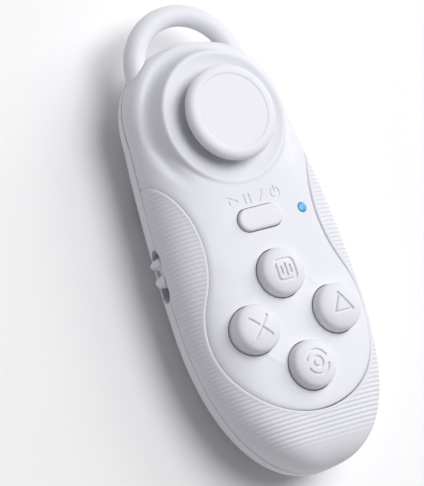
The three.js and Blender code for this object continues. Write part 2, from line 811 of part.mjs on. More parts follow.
function modeSlider() {
  const [y0, y1] = SLIDER_KNOB;
  const x0 = SLIDER_KNOB_X;
  const z0 = SLIDER_Z - 1.7;
  const z1 = SLIDER_Z + 1.7;
  const knob = box([x0, y0, z0], [-17.9, y1, z1]);
  const middle = (y0 + y1) / 2;
  const valley = rod(1.7, z0 - 1, z1 + 1, x0 - 0.7, middle);
  const plate = box([-18.3, y0 - 2.2, SLIDER_Z - 2], [-17.6, y1 + 2.2, SLIDER_Z + 1.2]);
  return knob.subtract(valley).add(plate);
}

function switchLever() {
  const y = (SLIDER_KNOB[0] + SLIDER_KNOB[1]) / 2;
  return box([-17.3, y - 0.8, SLIDER_Z - 1.6], [-15.7, y + 0.8, SLIDER_Z - 0.2]);
}

function slideSwitch() {
  const y = (SLIDER_KNOB[0] + SLIDER_KNOB[1]) / 2 - 1.25;
  const can = box([-16.2, y - 4, SLIDER_Z - 2.6], [-12.4, y + 4, SLIDER_Z + 0.9]);
  return can.subtract(box([-17, y - 2.4, SLIDER_Z - 2], [-15.4, y + 2.4, SLIDER_Z + 0.2]));
}

// ---------------------------------------------------------------- cells and contacts

function batteryTray() {
  const { x, y0, y1, top, low, wall } = TRAY;
  let tray = box([-x, y0, low], [x, y1, top]);
  tray = tray.subtract(box([-x + wall, y0 + wall, 0], [x - wall, y1 - wall, top - 0.5]));
  for (const side of [-1, 1]) {
    const notch = side * CELL_X;
    tray = tray.subtract(box([notch - 1.6, y1 - 2, 10], [notch + 1.6, y1 + 1, 11.4]));
  }
  for (const [px, py] of BOARD_SCREWS) tray = tray.subtract(rod(1, top - 2, top + 1, px, py, 12));
  return tray;
}

// A AAA cell along Y with its nub at one end.
function cell(x, y0, nubAtHighY) {
  const nub = 1;
  const low = nubAtHighY ? y0 : y0 + nub;
  const body = crossRod("y", CELL_R, low, low + CELL_LONG - nub, [x, CELL_Z], 24);
  const ends = nubAtHighY ? [low + CELL_LONG - nub - 0.1, y0 + CELL_LONG] : [y0, low + 0.1];
  return body.add(crossRod("y", 1.9, ends[0], ends[1], [x, CELL_Z], 16));
}

const CONTACT_Y = [TRAY.y0 + TRAY.wall + GAP, TRAY.y1 - TRAY.wall - GAP];

function bridgeContact() {
  const y = CONTACT_Y[0];
  const plate = box([-9.6, y, CELL_Z - 2.6], [9.6, y + 0.4, CELL_Z + 3.4]);
  return plate.add(coilAlongY(-CELL_X, CELL_Z, y + 0.3, y + 2.4, 2.6, 0.35, 3));
}

function terminal(x, sprung) {
  const y = CONTACT_Y[1];
  let plate = box([x - 4, y - 0.4, CELL_Z - 2.6], [x + 4, y, CELL_Z + 3.7]);
  plate = plate.add(box([x - 1.2, y - 0.4, 10.5], [x + 1.2, y + 1.9, 10.9]));
  if (!sprung) return plate;
  return plate.add(coilAlongY(x, CELL_Z, y - 2.4, y - 0.3, 2.6, 0.35, 3));
}

function batteryLead(x) {
  const curve = new THREE.CatmullRomCurve3([
    new THREE.Vector3(x, 8.6, 10.7),
    new THREE.Vector3(x, 10.6, 10.9),
    new THREE.Vector3(x, 12, 12),
    new THREE.Vector3(x, 12.3, 13.6),
    new THREE.Vector3(x, 11.6, 14.6),
    new THREE.Vector3(x, 10.7, 14.7),
  ]);
  return bar(0.6, curve, 14, 8);
}

// ---------------------------------------------------------------- assembly

const controller = new THREE.Group();
controller.name = "vr_motion_controller";

function place(name, shape, material) {
  const mesh = new THREE.Mesh(geometryOf(shape), material);
  mesh.name = name;
  controller.add(mesh);
}

place("face_cover", faceCover(), plastic(WHITE, 0.5));
place("grip_band", gripBand(), plastic(WHITE, 0.6));
place("back_shell", backShell(), plastic(WHITE, 0.5));
place("battery_door", batteryDoor(), plastic(WHITE, 0.5));
place("strap_loop", loopForm(0), plastic(WHITE, 0.5));
SCREWS.forEach(([x, y], i) => {
  place(`housing_screw_${i + 1}`, housingScrew(x, y), metal(0x9a9ca0));
});

for (const [name, at] of Object.entries(KEY_CENTRES)) {
  place(name, keyButton(at), plastic(KEY_WHITE, 0.4));
  place(name.replace("button", "dome"), rubberDome(...at), plastic(0x8c9097, 0.8));
}
place("start_button", startButton(), plastic(KEY_WHITE, 0.4));
place("start_dome", rubberDome(0, START_Y, 2), plastic(0x8c9097, 0.8));
place("keypad_mat", keypadMat(), plastic(0x8c9097, 0.8));

const lens = rod(LED_R, 16.6, FACE_Z - 0.2, LED_X, START_Y, 14);
place("led_light_pipe", lens, plastic(0x6fb9dc, 0.15));
const ledLow = BOARD_Z + BOARD_THICK + GAP;
const led = box([LED_X - 0.8, START_Y - 0.5, ledLow], [LED_X + 0.8, START_Y + 0.5, ledLow + 0.6]);
place("status_led", led, plastic(0xd8ecff, 0.2));

place("main_board", mainBoard(), plastic(0x1f5a3a, 0.5));
BOARD_SCREWS.forEach(([x, y], i) => {
  place(`board_screw_${i + 1}`, boardScrew(x, y), metal(0xb8bac0));
});
const chip = box([-12.4, -4.2, ledLow], [-7.4, 0.8, ledLow + 0.9]);
place("controller_chip", chip, plastic(0x17181a, 0.5));
const crystal = box([7, -5.2, ledLow], [10.2, -2.7, ledLow + 0.8]);
place("crystal", crystal, metal(0xc4c6ca, 0.25));
place("head_board", headBoard(), plastic(0x1f5a3a, 0.5));
place("trigger_ribbon", ribbonCable(), plastic(0xd9d2bd, 0.6));

place("stick_cap", stickCap(), plastic(KEY_WHITE, 0.4));
place("stick_skirt", stickSkirt(), plastic(WHITE, 0.5));
place("stick_shaft", stickShaft(), plastic(0x2a2b2e, 0.5));
place("stick_yoke", stickYoke(), plastic(GREY_PLASTIC, 0.5));
place("stick_rocker", stickRocker(), plastic(0x54565c, 0.5));
place("stick_frame", stickFrame(), metal(0xb4b6ba, 0.35));
place("stick_pot_x", stickPotX(), plastic(0x2d6b3c, 0.5));
place("stick_pot_y", stickPotY(), plastic(0x2d6b3c, 0.5));

const trigger = plastic(KEY_WHITE, 0.45);
place("lower_trigger", fingerKey(LOWER_TRIGGER_Y, LOWER_PLATE_Z), trigger);
place("upper_trigger", fingerKey(UPPER_TRIGGER_Y, UPPER_PLATE_Z), trigger.clone());
place("lower_trigger_dome", fingerDome(LOWER_TRIGGER_Y, LOWER_PLATE_Z + 1), metal(0xb0a890));
place("upper_trigger_dome", fingerDome(UPPER_TRIGGER_Y, UPPER_PLATE_Z + 1), metal(0xb0a890));

place("mode_slider", modeSlider(), plastic(KEY_WHITE, 0.45));
place("switch_lever", switchLever(), plastic(0x202124, 0.5));
place("slide_switch", slideSwitch(), metal(0xbfc1c5, 0.3));

place("battery_tray", batteryTray(), plastic(0xdcdce0, 0.6));
place("battery_left", cell(-CELL_X, CONTACT_Y[0] + 3, true), metal(0x2f6f9f, 0.4));
place("battery_right", cell(CELL_X, CONTACT_Y[0] + 0.7, false), metal(0x2f6f9f, 0.4));
place("bridge_contact", bridgeContact(), metal(0xc9cbd0, 0.3));
place("positive_terminal", terminal(-CELL_X, false), metal(0xc9cbd0, 0.3));
place("negative_terminal", terminal(CELL_X, true), metal(0xc9cbd0, 0.3));
place("lead_red", batteryLead(-CELL_X), plastic(0xb3271f, 0.5));
place("lead_black", batteryLead(CELL_X), plastic(0x1c1c1e, 0.5));

export default controller;
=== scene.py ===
import json
import math

import bpy
import numpy as np
from mathutils import Matrix, Vector


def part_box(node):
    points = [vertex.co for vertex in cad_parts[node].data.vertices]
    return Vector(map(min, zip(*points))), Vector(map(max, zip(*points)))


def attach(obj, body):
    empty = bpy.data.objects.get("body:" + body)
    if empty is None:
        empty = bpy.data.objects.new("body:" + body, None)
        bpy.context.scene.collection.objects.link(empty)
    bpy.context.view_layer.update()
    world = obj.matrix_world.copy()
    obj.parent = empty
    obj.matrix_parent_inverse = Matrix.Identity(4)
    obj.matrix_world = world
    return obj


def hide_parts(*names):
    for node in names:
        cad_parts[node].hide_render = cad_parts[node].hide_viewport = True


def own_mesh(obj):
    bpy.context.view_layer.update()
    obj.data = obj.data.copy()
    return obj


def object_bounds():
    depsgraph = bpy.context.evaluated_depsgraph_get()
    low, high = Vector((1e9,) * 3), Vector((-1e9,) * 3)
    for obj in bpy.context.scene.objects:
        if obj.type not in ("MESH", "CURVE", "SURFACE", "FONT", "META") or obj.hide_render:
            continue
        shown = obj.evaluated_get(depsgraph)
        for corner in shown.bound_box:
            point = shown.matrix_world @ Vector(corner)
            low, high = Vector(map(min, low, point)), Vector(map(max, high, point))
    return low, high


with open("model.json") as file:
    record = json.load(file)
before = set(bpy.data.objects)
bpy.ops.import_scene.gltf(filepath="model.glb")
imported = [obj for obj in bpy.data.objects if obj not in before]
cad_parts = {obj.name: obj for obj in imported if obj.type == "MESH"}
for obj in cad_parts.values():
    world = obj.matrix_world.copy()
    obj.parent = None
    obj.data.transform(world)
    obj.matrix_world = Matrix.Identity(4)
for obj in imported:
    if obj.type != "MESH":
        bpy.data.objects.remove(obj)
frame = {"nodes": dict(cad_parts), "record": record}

# A one-hand VR motion controller. Shapes are worked out in millimetres and scaled to metres as
# each mesh is made. The housing's form repeats the CAD model's own formulas.

MM = 0.001
CAD_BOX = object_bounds()

# ---------------------------------------------------------------- driving dimensions

GAP = 0.3
WALL = 1.9
FACE_Z = 21.8
PARTING_Z = 11.8
UPPER_RISE = FACE_Z - PARTING_Z
LOWER_DROP = 12.6
FACE_LEVEL_TO = -38
FACE_FALL_POWER = 3.2
SHOULDER_FROM = -30
SHOULDER_RUN = 20
UPPER_POWER = 3.0  # how square the section is over the parting line
UPPER_HEAD_LOSS = 0.4  # and how much less square it is at the head
LOWER_POWER = 2.3  # the same under the parting line
LOWER_HEAD_GAIN = 0.3
HEAD_RISE_POWER = 2.6
BELLY_FROM = -18  # the underside is level between these places along y
BELLY_TO = 2
GRIP_DROP_POWER = 3
HEAD_DROP_POWER = 1.6

GRIP_HALF = 23.2
GRIP_Y = -17.25
GRIP_REACH = 38.35
GRIP_END = GRIP_Y - GRIP_REACH
GRIP_POWER = 2.15
HEAD_HALF = 20.4
HEAD_REACH = 19.9
HEAD_POWER = 2.3
STICK_Y = 26.15
HEAD_END = STICK_Y + HEAD_REACH
WAIST = [(GRIP_Y, GRIP_HALF), (-8, 23), (2, 22.4), (11, 21.7), (19, 21), (STICK_Y, HEAD_HALF)]

KEYS_Y = -22.2
KEY_R = 5.6
KEY_RISE = 3.6
KEY_FLANGE_Z = 17.5
KEY_GAP = 0.22
KEY_FLANGE_HALF = (4.2, 6.8)
FLANGE_THICK = 0.7
GLYPH_STEPS = [(0.82, 0.12), (0.56, 0.26), (0.34, 0.38)]
GLYPH_HALF = 2.7
BAR_SHARE = 0.65
LEGEND_WIDTH = 0.55
LEGEND_DEPTH = 0.16
LEGEND_OVER_START = 4.8
START_HALF = (5.75, 2.6)
BEAD_R = 11.0
BEAD_RISE = 0.13
BEAD_RUN = 0.45

SEAM_RING_R = 20.8
SEAM_WAIST_X = 41.5
SEAM_WAIST_Y = -0.4
SEAM_WAIST_R = math.hypot(SEAM_WAIST_X, KEYS_Y - SEAM_WAIST_Y) - SEAM_RING_R
SEAM_END_X = 21.8

RIB_PITCH = 1.0
RIB_DEPTH = 0.18
BAND_RAISE = 0.14
SEAM_GAP = 0.2
SEAM_DIP = 0.2
SEAM_DIP_RUN = 0.6
PARTING_GAP = 0.06
PARTING_ROUND = 0.14
EDGE_ROUND = 0.35
BAND_TOP = 16.2
BAND_WELD = 0.004  # points of the band closer than this are one point
BAND_WALL = WALL * 0.8
BAND_COLUMNS = 24
RIB_ROWS = 8  # rows to one rib
RIB_POWER = 1.3
RIB_FADE = (45.5, 52)  # the ribs fade out over these distances down the grip
TIP_ROWS = [0.00001, 0.0002, 0.001, 0.004, 0.012, 0.03, 0.08, 0.18]
EDGE_STEPS = [0, 0.05, 0.11, 0.18, 0.26, 0.36, 0.5, 0.7, 1.0, 1.4]

BOWL_MOUTH_R = 7.4
BOWL_CUT_R = 15.2
LOOP_R = 13.3
LOOP_TUBE_R = 2.5
LOOP_Y = 39.8
LOOP_Z = 12.7
LOOP_FOOT_Y = 37.4
LOOP_FLATNESS = 0.97
LOOP_CLEARANCE = 0.1

SLOT_Y = (-9.85, 2.35)
SLOT_Z = 10.3
SLOT_HALF = 2.25
KNOB_Y = (-6.55, 0.55)
KNOB_X = -23.1
KNOB_HALF = 1.95
SKIRT_CENTRE_Z = 13.7
SKIRT_R = 9.0
SKIRT_WALL = 1.0
SKIRT_TURNS = (66, 9)

DOOR_HALF = 11.0
DOOR_Y = (-42.0, 7.0)
TRIGGER_HALF = 8.0
TRIGGER_RISE = 0.8
TRIGGERS = {"lower_trigger": ((19.2, 25.8), 5.9), "upper_trigger": ((26.9, 33.5), 6.9)}
SCREWS = [(0, -48.4), (-14.8, 12.5), (14.8, 12.5), (0, 41.5)]
BOSS_R = 2.2
BOSS_WALL = 0.8
BOSS_UNDER_SEAT = 2.0
SEAT_DEPTH = 2.6
SCREW_HEAD_R = 1.9
SHANK_R = 1.0
SHANK_TOP = 16.8
PLATE_WING = 1.3
FAR = 80.0

# The pedestal under the stick: radius and height over the face, down its outer wall.
PEDESTAL = [
    (15.2, 0.1), (15.6, -0.1), (15.85, -0.7), (16.1, -1.6), (16.45, -2.7),
    (16.9, -3.7), (17.5, -4.5), (18.3, -5.1), (19.5, -5.8),
]
DISH = [(14.9, 0.12), (14.1, -0.18), (12.8, -0.62), (11.2, -1.0), (9.3, -1.25), (7.4, -1.35)]
PEDESTAL_REACH = 20
PEDESTAL_BLEND = 0.7
MOAT_R = 17.6
MOAT_RUN = 1.5
MOAT_DEPTH = 1.25


# ---------------------------------------------------------------- camera, lights, floor

LENS = 300.0
SENSOR = 36.0
VIEW_HEIGHT = 108 * MM
VIEW_AZIMUTH = -76.0
VIEW_ELEVATION = 58.1
VIEW_ROLL = 59.1
VIEW_AIM = Vector((-11.65, -0.39, 18.06)) * MM


def add_camera():
    data = bpy.data.cameras.new("camera")
    data.lens = LENS
    data.sensor_width = SENSOR
    data.clip_end = 20
    camera = bpy.data.objects.new("camera", data)
    bpy.context.scene.collection.objects.link(camera)
    turn = (
        Matrix.Rotation(math.radians(VIEW_AZIMUTH), 4, "Z")
        @ Matrix.Rotation(math.radians(90 - VIEW_ELEVATION), 4, "X")
        @ Matrix.Rotation(math.radians(VIEW_ROLL), 4, "Z")
    )
    distance = LENS / SENSOR * VIEW_HEIGHT
    place = VIEW_AIM + turn @ Vector((0, 0, distance))
    camera.matrix_world = Matrix.Translation(place) @ turn
    bpy.context.scene.camera = camera


def add_softbox(name, direction, distance, size, power):
    data = bpy.data.lights.new(name, "AREA")
    data.shape = "DISK"
    data.size = size
    data.energy = power
    light = bpy.data.objects.new(name, data)
    bpy.context.scene.collection.objects.link(light)
    way = Vector(direction).normalized()
    light.location = way * distance
    light.rotation_euler = way.to_track_quat("Z", "Y").to_euler()


def add_lights():
    add_softbox("key_light", (0.80, 0.36, 0.62), distance=0.9, size=0.6, power=2.9)
    add_softbox("top_light", (0.22, 0.14, 1.0), distance=1.1, size=0.8, power=8.1)
    world = bpy.data.worlds.new("studio")
    world.use_nodes = True
    background = world.node_tree.nodes["Background"]
    background.inputs["Color"].default_value = (0.96, 0.97, 1.0, 1)
    background.inputs["Strength"].default_value = 0.2
    bpy.context.scene.world = world
    bpy.context.scene.view_settings.view_transform = "Standard"


# ---------------------------------------------------------------- mesh helpers

def new_object(name, mesh):
    obj = bpy.data.objects.new(name, mesh)
    bpy.context.scene.collection.objects.link(obj)
    return obj


def mesh_object(name, points, faces):
    """An object from points in millimetres. It stays in millimetres until finish_mesh."""
    mesh = bpy.data.meshes.new(name)
    mesh.from_pydata(np.asarray(points, float).tolist(), [], faces)
    mesh.update()
    return new_object(name, mesh)


def evaluated(obj):
    """Applies the object's modifiers to its mesh."""
    graph = bpy.context.evaluated_depsgraph_get()
    mesh = bpy.data.meshes.new_from_object(obj.evaluated_get(graph))
    obj.modifiers.clear()
    obj.data = mesh
    return obj


def add_boolean(obj, operation, other):
    step = obj.modifiers.new("carve", "BOOLEAN")
    step.operation = operation
    step.solver = "MANIFOLD"
    step.object = other


def carve(obj, operation, *cutters):
    """Joins, cuts or intersects with each cutter in turn, and removes the cutters."""
    for cutter in cutters:
        add_boolean(obj, operation, cutter)
    evaluated(obj)
    if not obj.data.polygons:
        raise RuntimeError(f"{obj.name}: nothing is left after {operation}")
    for cutter in cutters:
        bpy.data.objects.remove(cutter)
    return obj


def soften(obj, voxel, rounds):
    """Remeshes evenly and rounds every edge, as on a moulding."""
    step = obj.modifiers.new("remesh", "REMESH")
    step.mode = "VOXEL"
    step.voxel_size = voxel
    relax = obj.modifiers.new("relax", "SMOOTH")
    relax.factor = 0.5
    relax.iterations = rounds
    return evaluated(obj)


def finish_mesh(obj, sharp_degrees=None):
    """Scales the mesh to metres and shades it smooth, but for edges sharper than an angle."""
    obj.data.transform(Matrix.Scale(MM, 4))
    obj.data.polygons.foreach_set("use_smooth", [True] * len(obj.data.polygons))
    if sharp_degrees:
        obj.data.set_sharp_from_angle(angle=math.radians(sharp_degrees))
    obj.data.update()
    return obj


def tube_solid(name, rings, first, last):
    """A closed mesh from rings of points, with one point closing each end."""
    rows, n, _ = rings.shape
    points = np.vstack([rings.reshape(-1, 3), [first, last]])
    r, i = np.meshgrid(np.arange(rows - 1), np.arange(n), indexing="ij")
    a = (r * n + i).ravel()
    b = (r * n + (i + 1) % n).ravel()
    faces = np.stack([a, a + n, b + n, b], 1).tolist()
    end = (rows - 1) * n
    for i in range(n):
        faces.append([rows * n, i, (i + 1) % n])
        faces.append([rows * n + 1, end + (i + 1) % n, end + i])
    return mesh_object(name, points, faces)


def prism(outline, low, high, name="prism"):
    """A plan outline, counterclockwise, raised from one height to another."""
    n = len(outline)
    points = [(x, y, low) for x, y in outline] + [(x, y, high) for x, y in outline]
    faces = [list(range(n))[::-1], [n + i for i in range(n)]]
    for i in range(n):
        j = (i + 1) % n
        faces.append([i, j, n + j, n + i])
    return mesh_object(name, points, faces)


def block(low, high, name="block"):
    outline = [(low[0], low[1]), (high[0], low[1]), (high[0], high[1]), (low[0], high[1])]
    return prism(outline, low[2], high[2], name)


def rod(radius, low, high, x, y, sides=48):
    turns = np.linspace(0, 2 * math.pi, sides, endpoint=False)
    outline = [(x + radius * math.cos(t), y + radius * math.sin(t)) for t in turns]
    return prism(outline, low, high, "rod")


def turned(name, profile, centre, sides=128):
    """Turned about a vertical axis. The profile goes up its outside, from axis to axis, or it
    closes on itself when it doesn't reach the axis."""
    turns = np.linspace(0, 2 * math.pi, sides, endpoint=False)
    on_axis = profile[0][0] == 0
    inner = profile[1:-1] if on_axis else profile
    points = [(r * math.cos(t), r * math.sin(t), z) for r, z in inner for t in turns]
    faces = []
    loops = len(inner) if not on_axis else len(inner) - 1
    for k in range(loops):
        low = k * sides
        high = ((k + 1) % len(inner)) * sides
        for i in range(sides):
            j = (i + 1) % sides
            faces.append([low + i, low + j, high + j, high + i])
    if on_axis:
        top = (len(inner) - 1) * sides
        points += [(0, 0, profile[0][1]), (0, 0, profile[-1][1])]
        for i in range(sides):
            j = (i + 1) % sides
            faces.append([len(points) - 2, j, i])
            faces.append([len(points) - 1, top + i, top + j])
    return mesh_object(name, np.array(points) + np.array(centre), faces)


def smooth_line(points, steps=8):
    """A Catmull-Rom curve through the points."""
    p = np.asarray(points, float)
    p = np.vstack([p[0], p, p[-1]])
    out = []
    for k in range(1, len(p) - 2):
        for t in np.arange(steps) / steps:
            a = (p[k + 1] - p[k - 1]) / 2
            b = (p[k + 2] - p[k]) / 2
            cubic = 2 * p[k] - 2 * p[k + 1] + a + b
            square = -3 * p[k] + 3 * p[k + 1] - 2 * a - b
            out.append(cubic * t**3 + square * t**2 + a * t + p[k])
    out.append(p[-2])
    return np.array(out)


def arc(x, y, radius, start, stop, steps):
    turns = np.radians(np.linspace(start, stop, steps))
    return [(x + radius * math.cos(t), y + radius * math.sin(t)) for t in turns]


def rounded_rect(x0, x1, y0, y1, r, steps=9):
    return (
        arc(x1 - r, y0 + r, r, -90, 0, steps)
        + arc(x1 - r, y1 - r, r, 0, 90, steps)
        + arc(x0 + r, y1 - r, r, 90, 180, steps)
        + arc(x0 + r, y0 + r, r, 180, 270, steps)
    )


def run_along(line):
    """The distance along a line of points, at each point."""
    return np.concatenate([[0], np.cumsum(np.linalg.norm(np.diff(line, axis=0), axis=1))])


def smoothstep(v, low, high):
    t = np.clip((v - low) / (high - low), 0, 1)
    return t * t * (3 - 2 * t)


# ---------------------------------------------------------------- the housing's form

WAIST_LINE = smooth_line(WAIST, 18)


def fall(t, power):
    return np.maximum(0, 1 - np.maximum(0, t) ** power) ** (1 / power)


def section(y, inset=0.0):
    """Half-width, rise, drop and the two exponents of the section at each y."""
    y = np.asarray(y, float)
    half = np.interp(y, WAIST_LINE[:, 0], WAIST_LINE[:, 1]) - inset
    grip = (GRIP_HALF - inset) * fall((GRIP_Y - y) / (GRIP_REACH - inset), GRIP_POWER)
    head = (HEAD_HALF - inset) * fall((y - STICK_Y) / (HEAD_REACH - inset), HEAD_POWER)
    half = np.where(y < GRIP_Y, grip, np.where(y > STICK_Y, head, half))
    end = -GRIP_END - inset
    face_fall = fall((FACE_LEVEL_TO - y) / (end + FACE_LEVEL_TO), FACE_FALL_POWER)
    rise = np.where(y < FACE_LEVEL_TO, face_fall, 1.0)
    rise = np.where(y > STICK_Y, fall((y - STICK_Y) / (HEAD_REACH - inset), HEAD_RISE_POWER), rise)
    grip_drop = fall((BELLY_FROM - y) / (end + BELLY_FROM), GRIP_DROP_POWER)
    head_drop = fall((y - BELLY_TO) / (HEAD_END - BELLY_TO - inset), HEAD_DROP_POWER)
    drop = np.where(y > BELLY_TO, head_drop, np.where(y < BELLY_FROM, grip_drop, 1.0))
    share = smoothstep(y, 0, STICK_Y)
    shoulder = np.clip((SHOULDER_FROM - y) / SHOULDER_RUN, 0, 1)
    return (
        half,
        rise * (UPPER_RISE - inset),
        drop * (LOWER_DROP - inset),
        UPPER_POWER - UPPER_HEAD_LOSS * share + shoulder,
        LOWER_POWER + LOWER_HEAD_GAIN * share,
    )


def skin(y, turn, inset=0.0):
    """Points on the form, at each y and at each turn from +X over the top."""
    half, rise, drop, upper, lower = section(y, inset)
    c = np.cos(turn)
    d = np.sin(turn)
    top = d >= 0
    power = 2 / np.where(top, upper, lower)
    x = half * np.sign(c) * np.abs(c) ** power
    up = np.abs(d) ** power
    z = np.where(top, PARTING_Z + rise * up, np.maximum(inset, PARTING_Z - drop * up))
    return np.stack(np.broadcast_arrays(x, y, z), -1)


def even_turns(start, stop, count):
    """Turns that space points evenly around the grip's section."""
    fine = np.linspace(start, stop, 2000)
    run = run_along(skin(np.full_like(fine, -10.0), fine))
    return np.interp(np.linspace(0, run[-1], count), run, fine)


def row_places(count, inset=0.0):
    """Places along y, closer together towards both ends."""
    t = np.linspace(0, 1, count + 1)[1:-1] * math.pi / 2
    grip = GRIP_Y - (GRIP_REACH - inset) * np.sin(t[::-1]) ** (2 / GRIP_POWER)
    head = STICK_Y + (HEAD_REACH - inset) * np.sin(t) ** (2 / HEAD_POWER)
    middle = np.linspace(GRIP_Y, STICK_Y, count + 1)
    return np.concatenate([grip, middle, head])


def form(name, start, stop, rows, count, inset=0.0, shape=None):
    """The housing's form, or one half of it, as a closed solid."""
    y = row_places(rows, inset)
    whole = stop - start > 6
    turns = even_turns(start, stop, count + 1)[:-1] if whole else even_turns(start, stop, count)
    rings = skin(y[:, None], turns[None, :], inset)
    if shape:
        rings = shape(rings)
    ends = [(0, GRIP_END + inset, PARTING_Z), (0, HEAD_END - inset, PARTING_Z)]
    return tube_solid(name, rings, *ends)


def inner_form():
    return form("inside", 0, 2 * math.pi, 40, 96, WALL)


def seam_outline(out):
    """Everything inside the seam, in plan, moved outwards by an amount."""
    touch = math.degrees(math.atan2(SEAM_WAIST_Y - KEYS_Y, SEAM_WAIST_X))
    ring = SEAM_RING_R + out
    side = SEAM_WAIST_R - out
    top = math.degrees(math.acos((SEAM_WAIST_X - SEAM_END_X) / side))
    end = SEAM_WAIST_Y + side * math.sin(math.radians(top))
    right = arc(0, KEYS_Y, ring, -90, touch, 60)
    right += arc(SEAM_WAIST_X, SEAM_WAIST_Y, side, 180 + touch, 180 - top, 60)[1:]
    right += [(FAR, end), (FAR, FAR)]
    left = [(-x, y) for x, y in right[:0:-1]]
    return right + left


def seam_x(y, out):
    """The seam's distance from the middle plane at each y, or 0 below it."""
    ring = SEAM_RING_R + out
    side = SEAM_WAIST_R - out
    touch_y = KEYS_Y + ring * math.sin(math.atan2(SEAM_WAIST_Y - KEYS_Y, SEAM_WAIST_X))
    lower = np.sqrt(np.maximum(0, ring**2 - (y - KEYS_Y) ** 2))
    upper = SEAM_WAIST_X - np.sqrt(np.maximum(0, side**2 - (y - SEAM_WAIST_Y) ** 2))
    return np.where(y < touch_y, lower, upper)


def seam_distance(x, y):
    """How far outside the seam a plan position is."""
    ring = np.hypot(x, y - KEYS_Y) - SEAM_RING_R
    waist = SEAM_WAIST_R - np.hypot(np.abs(x) - SEAM_WAIST_X, y - SEAM_WAIST_Y)
    slope = np.arctan2(y - KEYS_Y, np.abs(x))
    touch = math.atan2(SEAM_WAIST_Y - KEYS_Y, SEAM_WAIST_X)
    return np.where(slope < touch, ring, waist)


# ---------------------------------------------------------------- face cover

def face_shape(rings):
    """Raises the pedestal's wall and the bead round the keys, and lowers the pedestal's foot and
    the cover's edge along the seam."""
    x, y, z = rings[..., 0], rings[..., 1], rings[..., 2]
    high = z - FACE_Z
    rho = np.hypot(x, y - STICK_Y)
    steep = smoothstep(-high, 0.6, 2.6)
    moat = MOAT_DEPTH * np.exp(-(((rho - MOAT_R) / MOAT_RUN) ** 2)) * steep
    wall = smooth_line(PEDESTAL, 6)
    ped = np.interp(rho, wall[:, 0], wall[:, 1], right=-20)
    base = high - moat
    h = np.clip(0.5 + 0.5 * (ped - base) / PEDESTAL_BLEND, 0, 1)
    merged = base + (ped - base) * h + PEDESTAL_BLEND * h * (1 - h)
    near = (rho < PEDESTAL_REACH) & (z > PARTING_Z + 0.5)
    high = np.where(near, merged, high)
    bead = BEAD_RISE * np.exp(-(((np.hypot(x, y - KEYS_Y) - BEAD_R) / BEAD_RUN) ** 2))
    dip = SEAM_DIP * np.exp(-((np.minimum(0, seam_distance(x, y)) / SEAM_DIP_RUN) ** 2))
    high = high + np.where(z > FACE_Z - 2, bead, 0) - dip * smoothstep(z, PARTING_Z, PARTING_Z + 3)
    return np.stack([x, y, high + FACE_Z], -1)


def bowl_ring():
    wall = smooth_line(PEDESTAL[:7], 5)[::-1]
    outer = [(r - 0.12, z - 0.05) for r, z in wall]
    dish = [tuple(p) for p in smooth_line(DISH, 6)]
    under = [(BOWL_MOUTH_R, -2.9), (10, -3), (13.4, -3.2), (15.0, -5.4)]
    profile = [(r, FACE_Z + z) for r, z in under + outer + dish]
    return turned("bowl", profile, (0, STICK_Y, 0), 160)


def face_cover():
    cover = form("face_cover_fine", 0, math.pi, 110, 230, 0.0, face_shape)
    carve(cover, "DIFFERENCE", inner_form())
    seam = prism(seam_outline(-SEAM_GAP / 2), PARTING_Z + PARTING_GAP / 2, FAR, "seam")
    carve(cover, "INTERSECT", seam)
    carve(cover, "DIFFERENCE", rod(BOWL_CUT_R, PARTING_Z, FAR, 0, STICK_Y, 160))
    carve(cover, "UNION", bowl_ring())
    carve(cover, "DIFFERENCE", strap_loop_solid(LOOP_CLEARANCE))
    soften(cover, 0.24, 6)
    holes = [rod(KEY_R + KEY_GAP, PARTING_Z, FAR, x, y, 96) for x, y in KEY_CENTRES.values()]
    low, high = START_BOX
    holes.append(prism(pill(low, high, KEY_GAP), PARTING_Z, FAR, "start_hole"))
    holes.append(rod(LED_R + KEY_GAP / 2, PARTING_Z, FAR, *LED_AT, 48))
    carve(cover, "DIFFERENCE", *holes)
    engrave(cover, legend_strokes(), FACE_Z - 2, FACE_Z + 2, legend_floor())
    return finish_mesh(cover, 40)


def legend_floor():
    return form("legend_floor", 0, 2 * math.pi, 110, 230, LEGEND_DEPTH)


# ---------------------------------------------------------------- glyphs

def stroke(points, width):
    """The outline of a line of some width with round ends, along a smooth run of points."""
    p = np.asarray(points, float)
    way = np.gradient(p, axis=0)
    way /= np.linalg.norm(way, axis=1)[:, None]
    side = np.stack([way[:, 1], -way[:, 0]], -1) * width / 2
    ends = []
    for point, towards in ((p[-1], way[-1]), (p[0], -way[0])):
        start = math.atan2(towards[1], towards[0]) - math.pi / 2
        turns = start + np.linspace(0, math.pi, 7)[1:-1]
        ends.append(np.stack([np.cos(turns), np.sin(turns)], -1) * width / 2 + point)
    return [tuple(q) for q in np.vstack([p + side, ends[0], (p - side)[::-1], ends[1]])]


def engrave(obj, strokes, low, high, floor):
    """Cuts each stroke down to the floor, a solid just under the surface, and removes it."""
    cutters = [prism(line, low, high, "stroke") for line in strokes]
    for cutter in cutters:
        add_boolean(cutter, "DIFFERENCE", floor)
        evaluated(cutter)
    bpy.data.objects.remove(floor)
    return carve(obj, "DIFFERENCE", *cutters)


def straight(x0, y0, x1, y1, width):
    return stroke([(x0, y0), ((x0 + x1) / 2, (y0 + y1) / 2), (x1, y1)], width)


def curved(x, y, radius, start, stop, width, steps=22):
    return stroke(arc(x, y, radius, start, stop, steps), width)


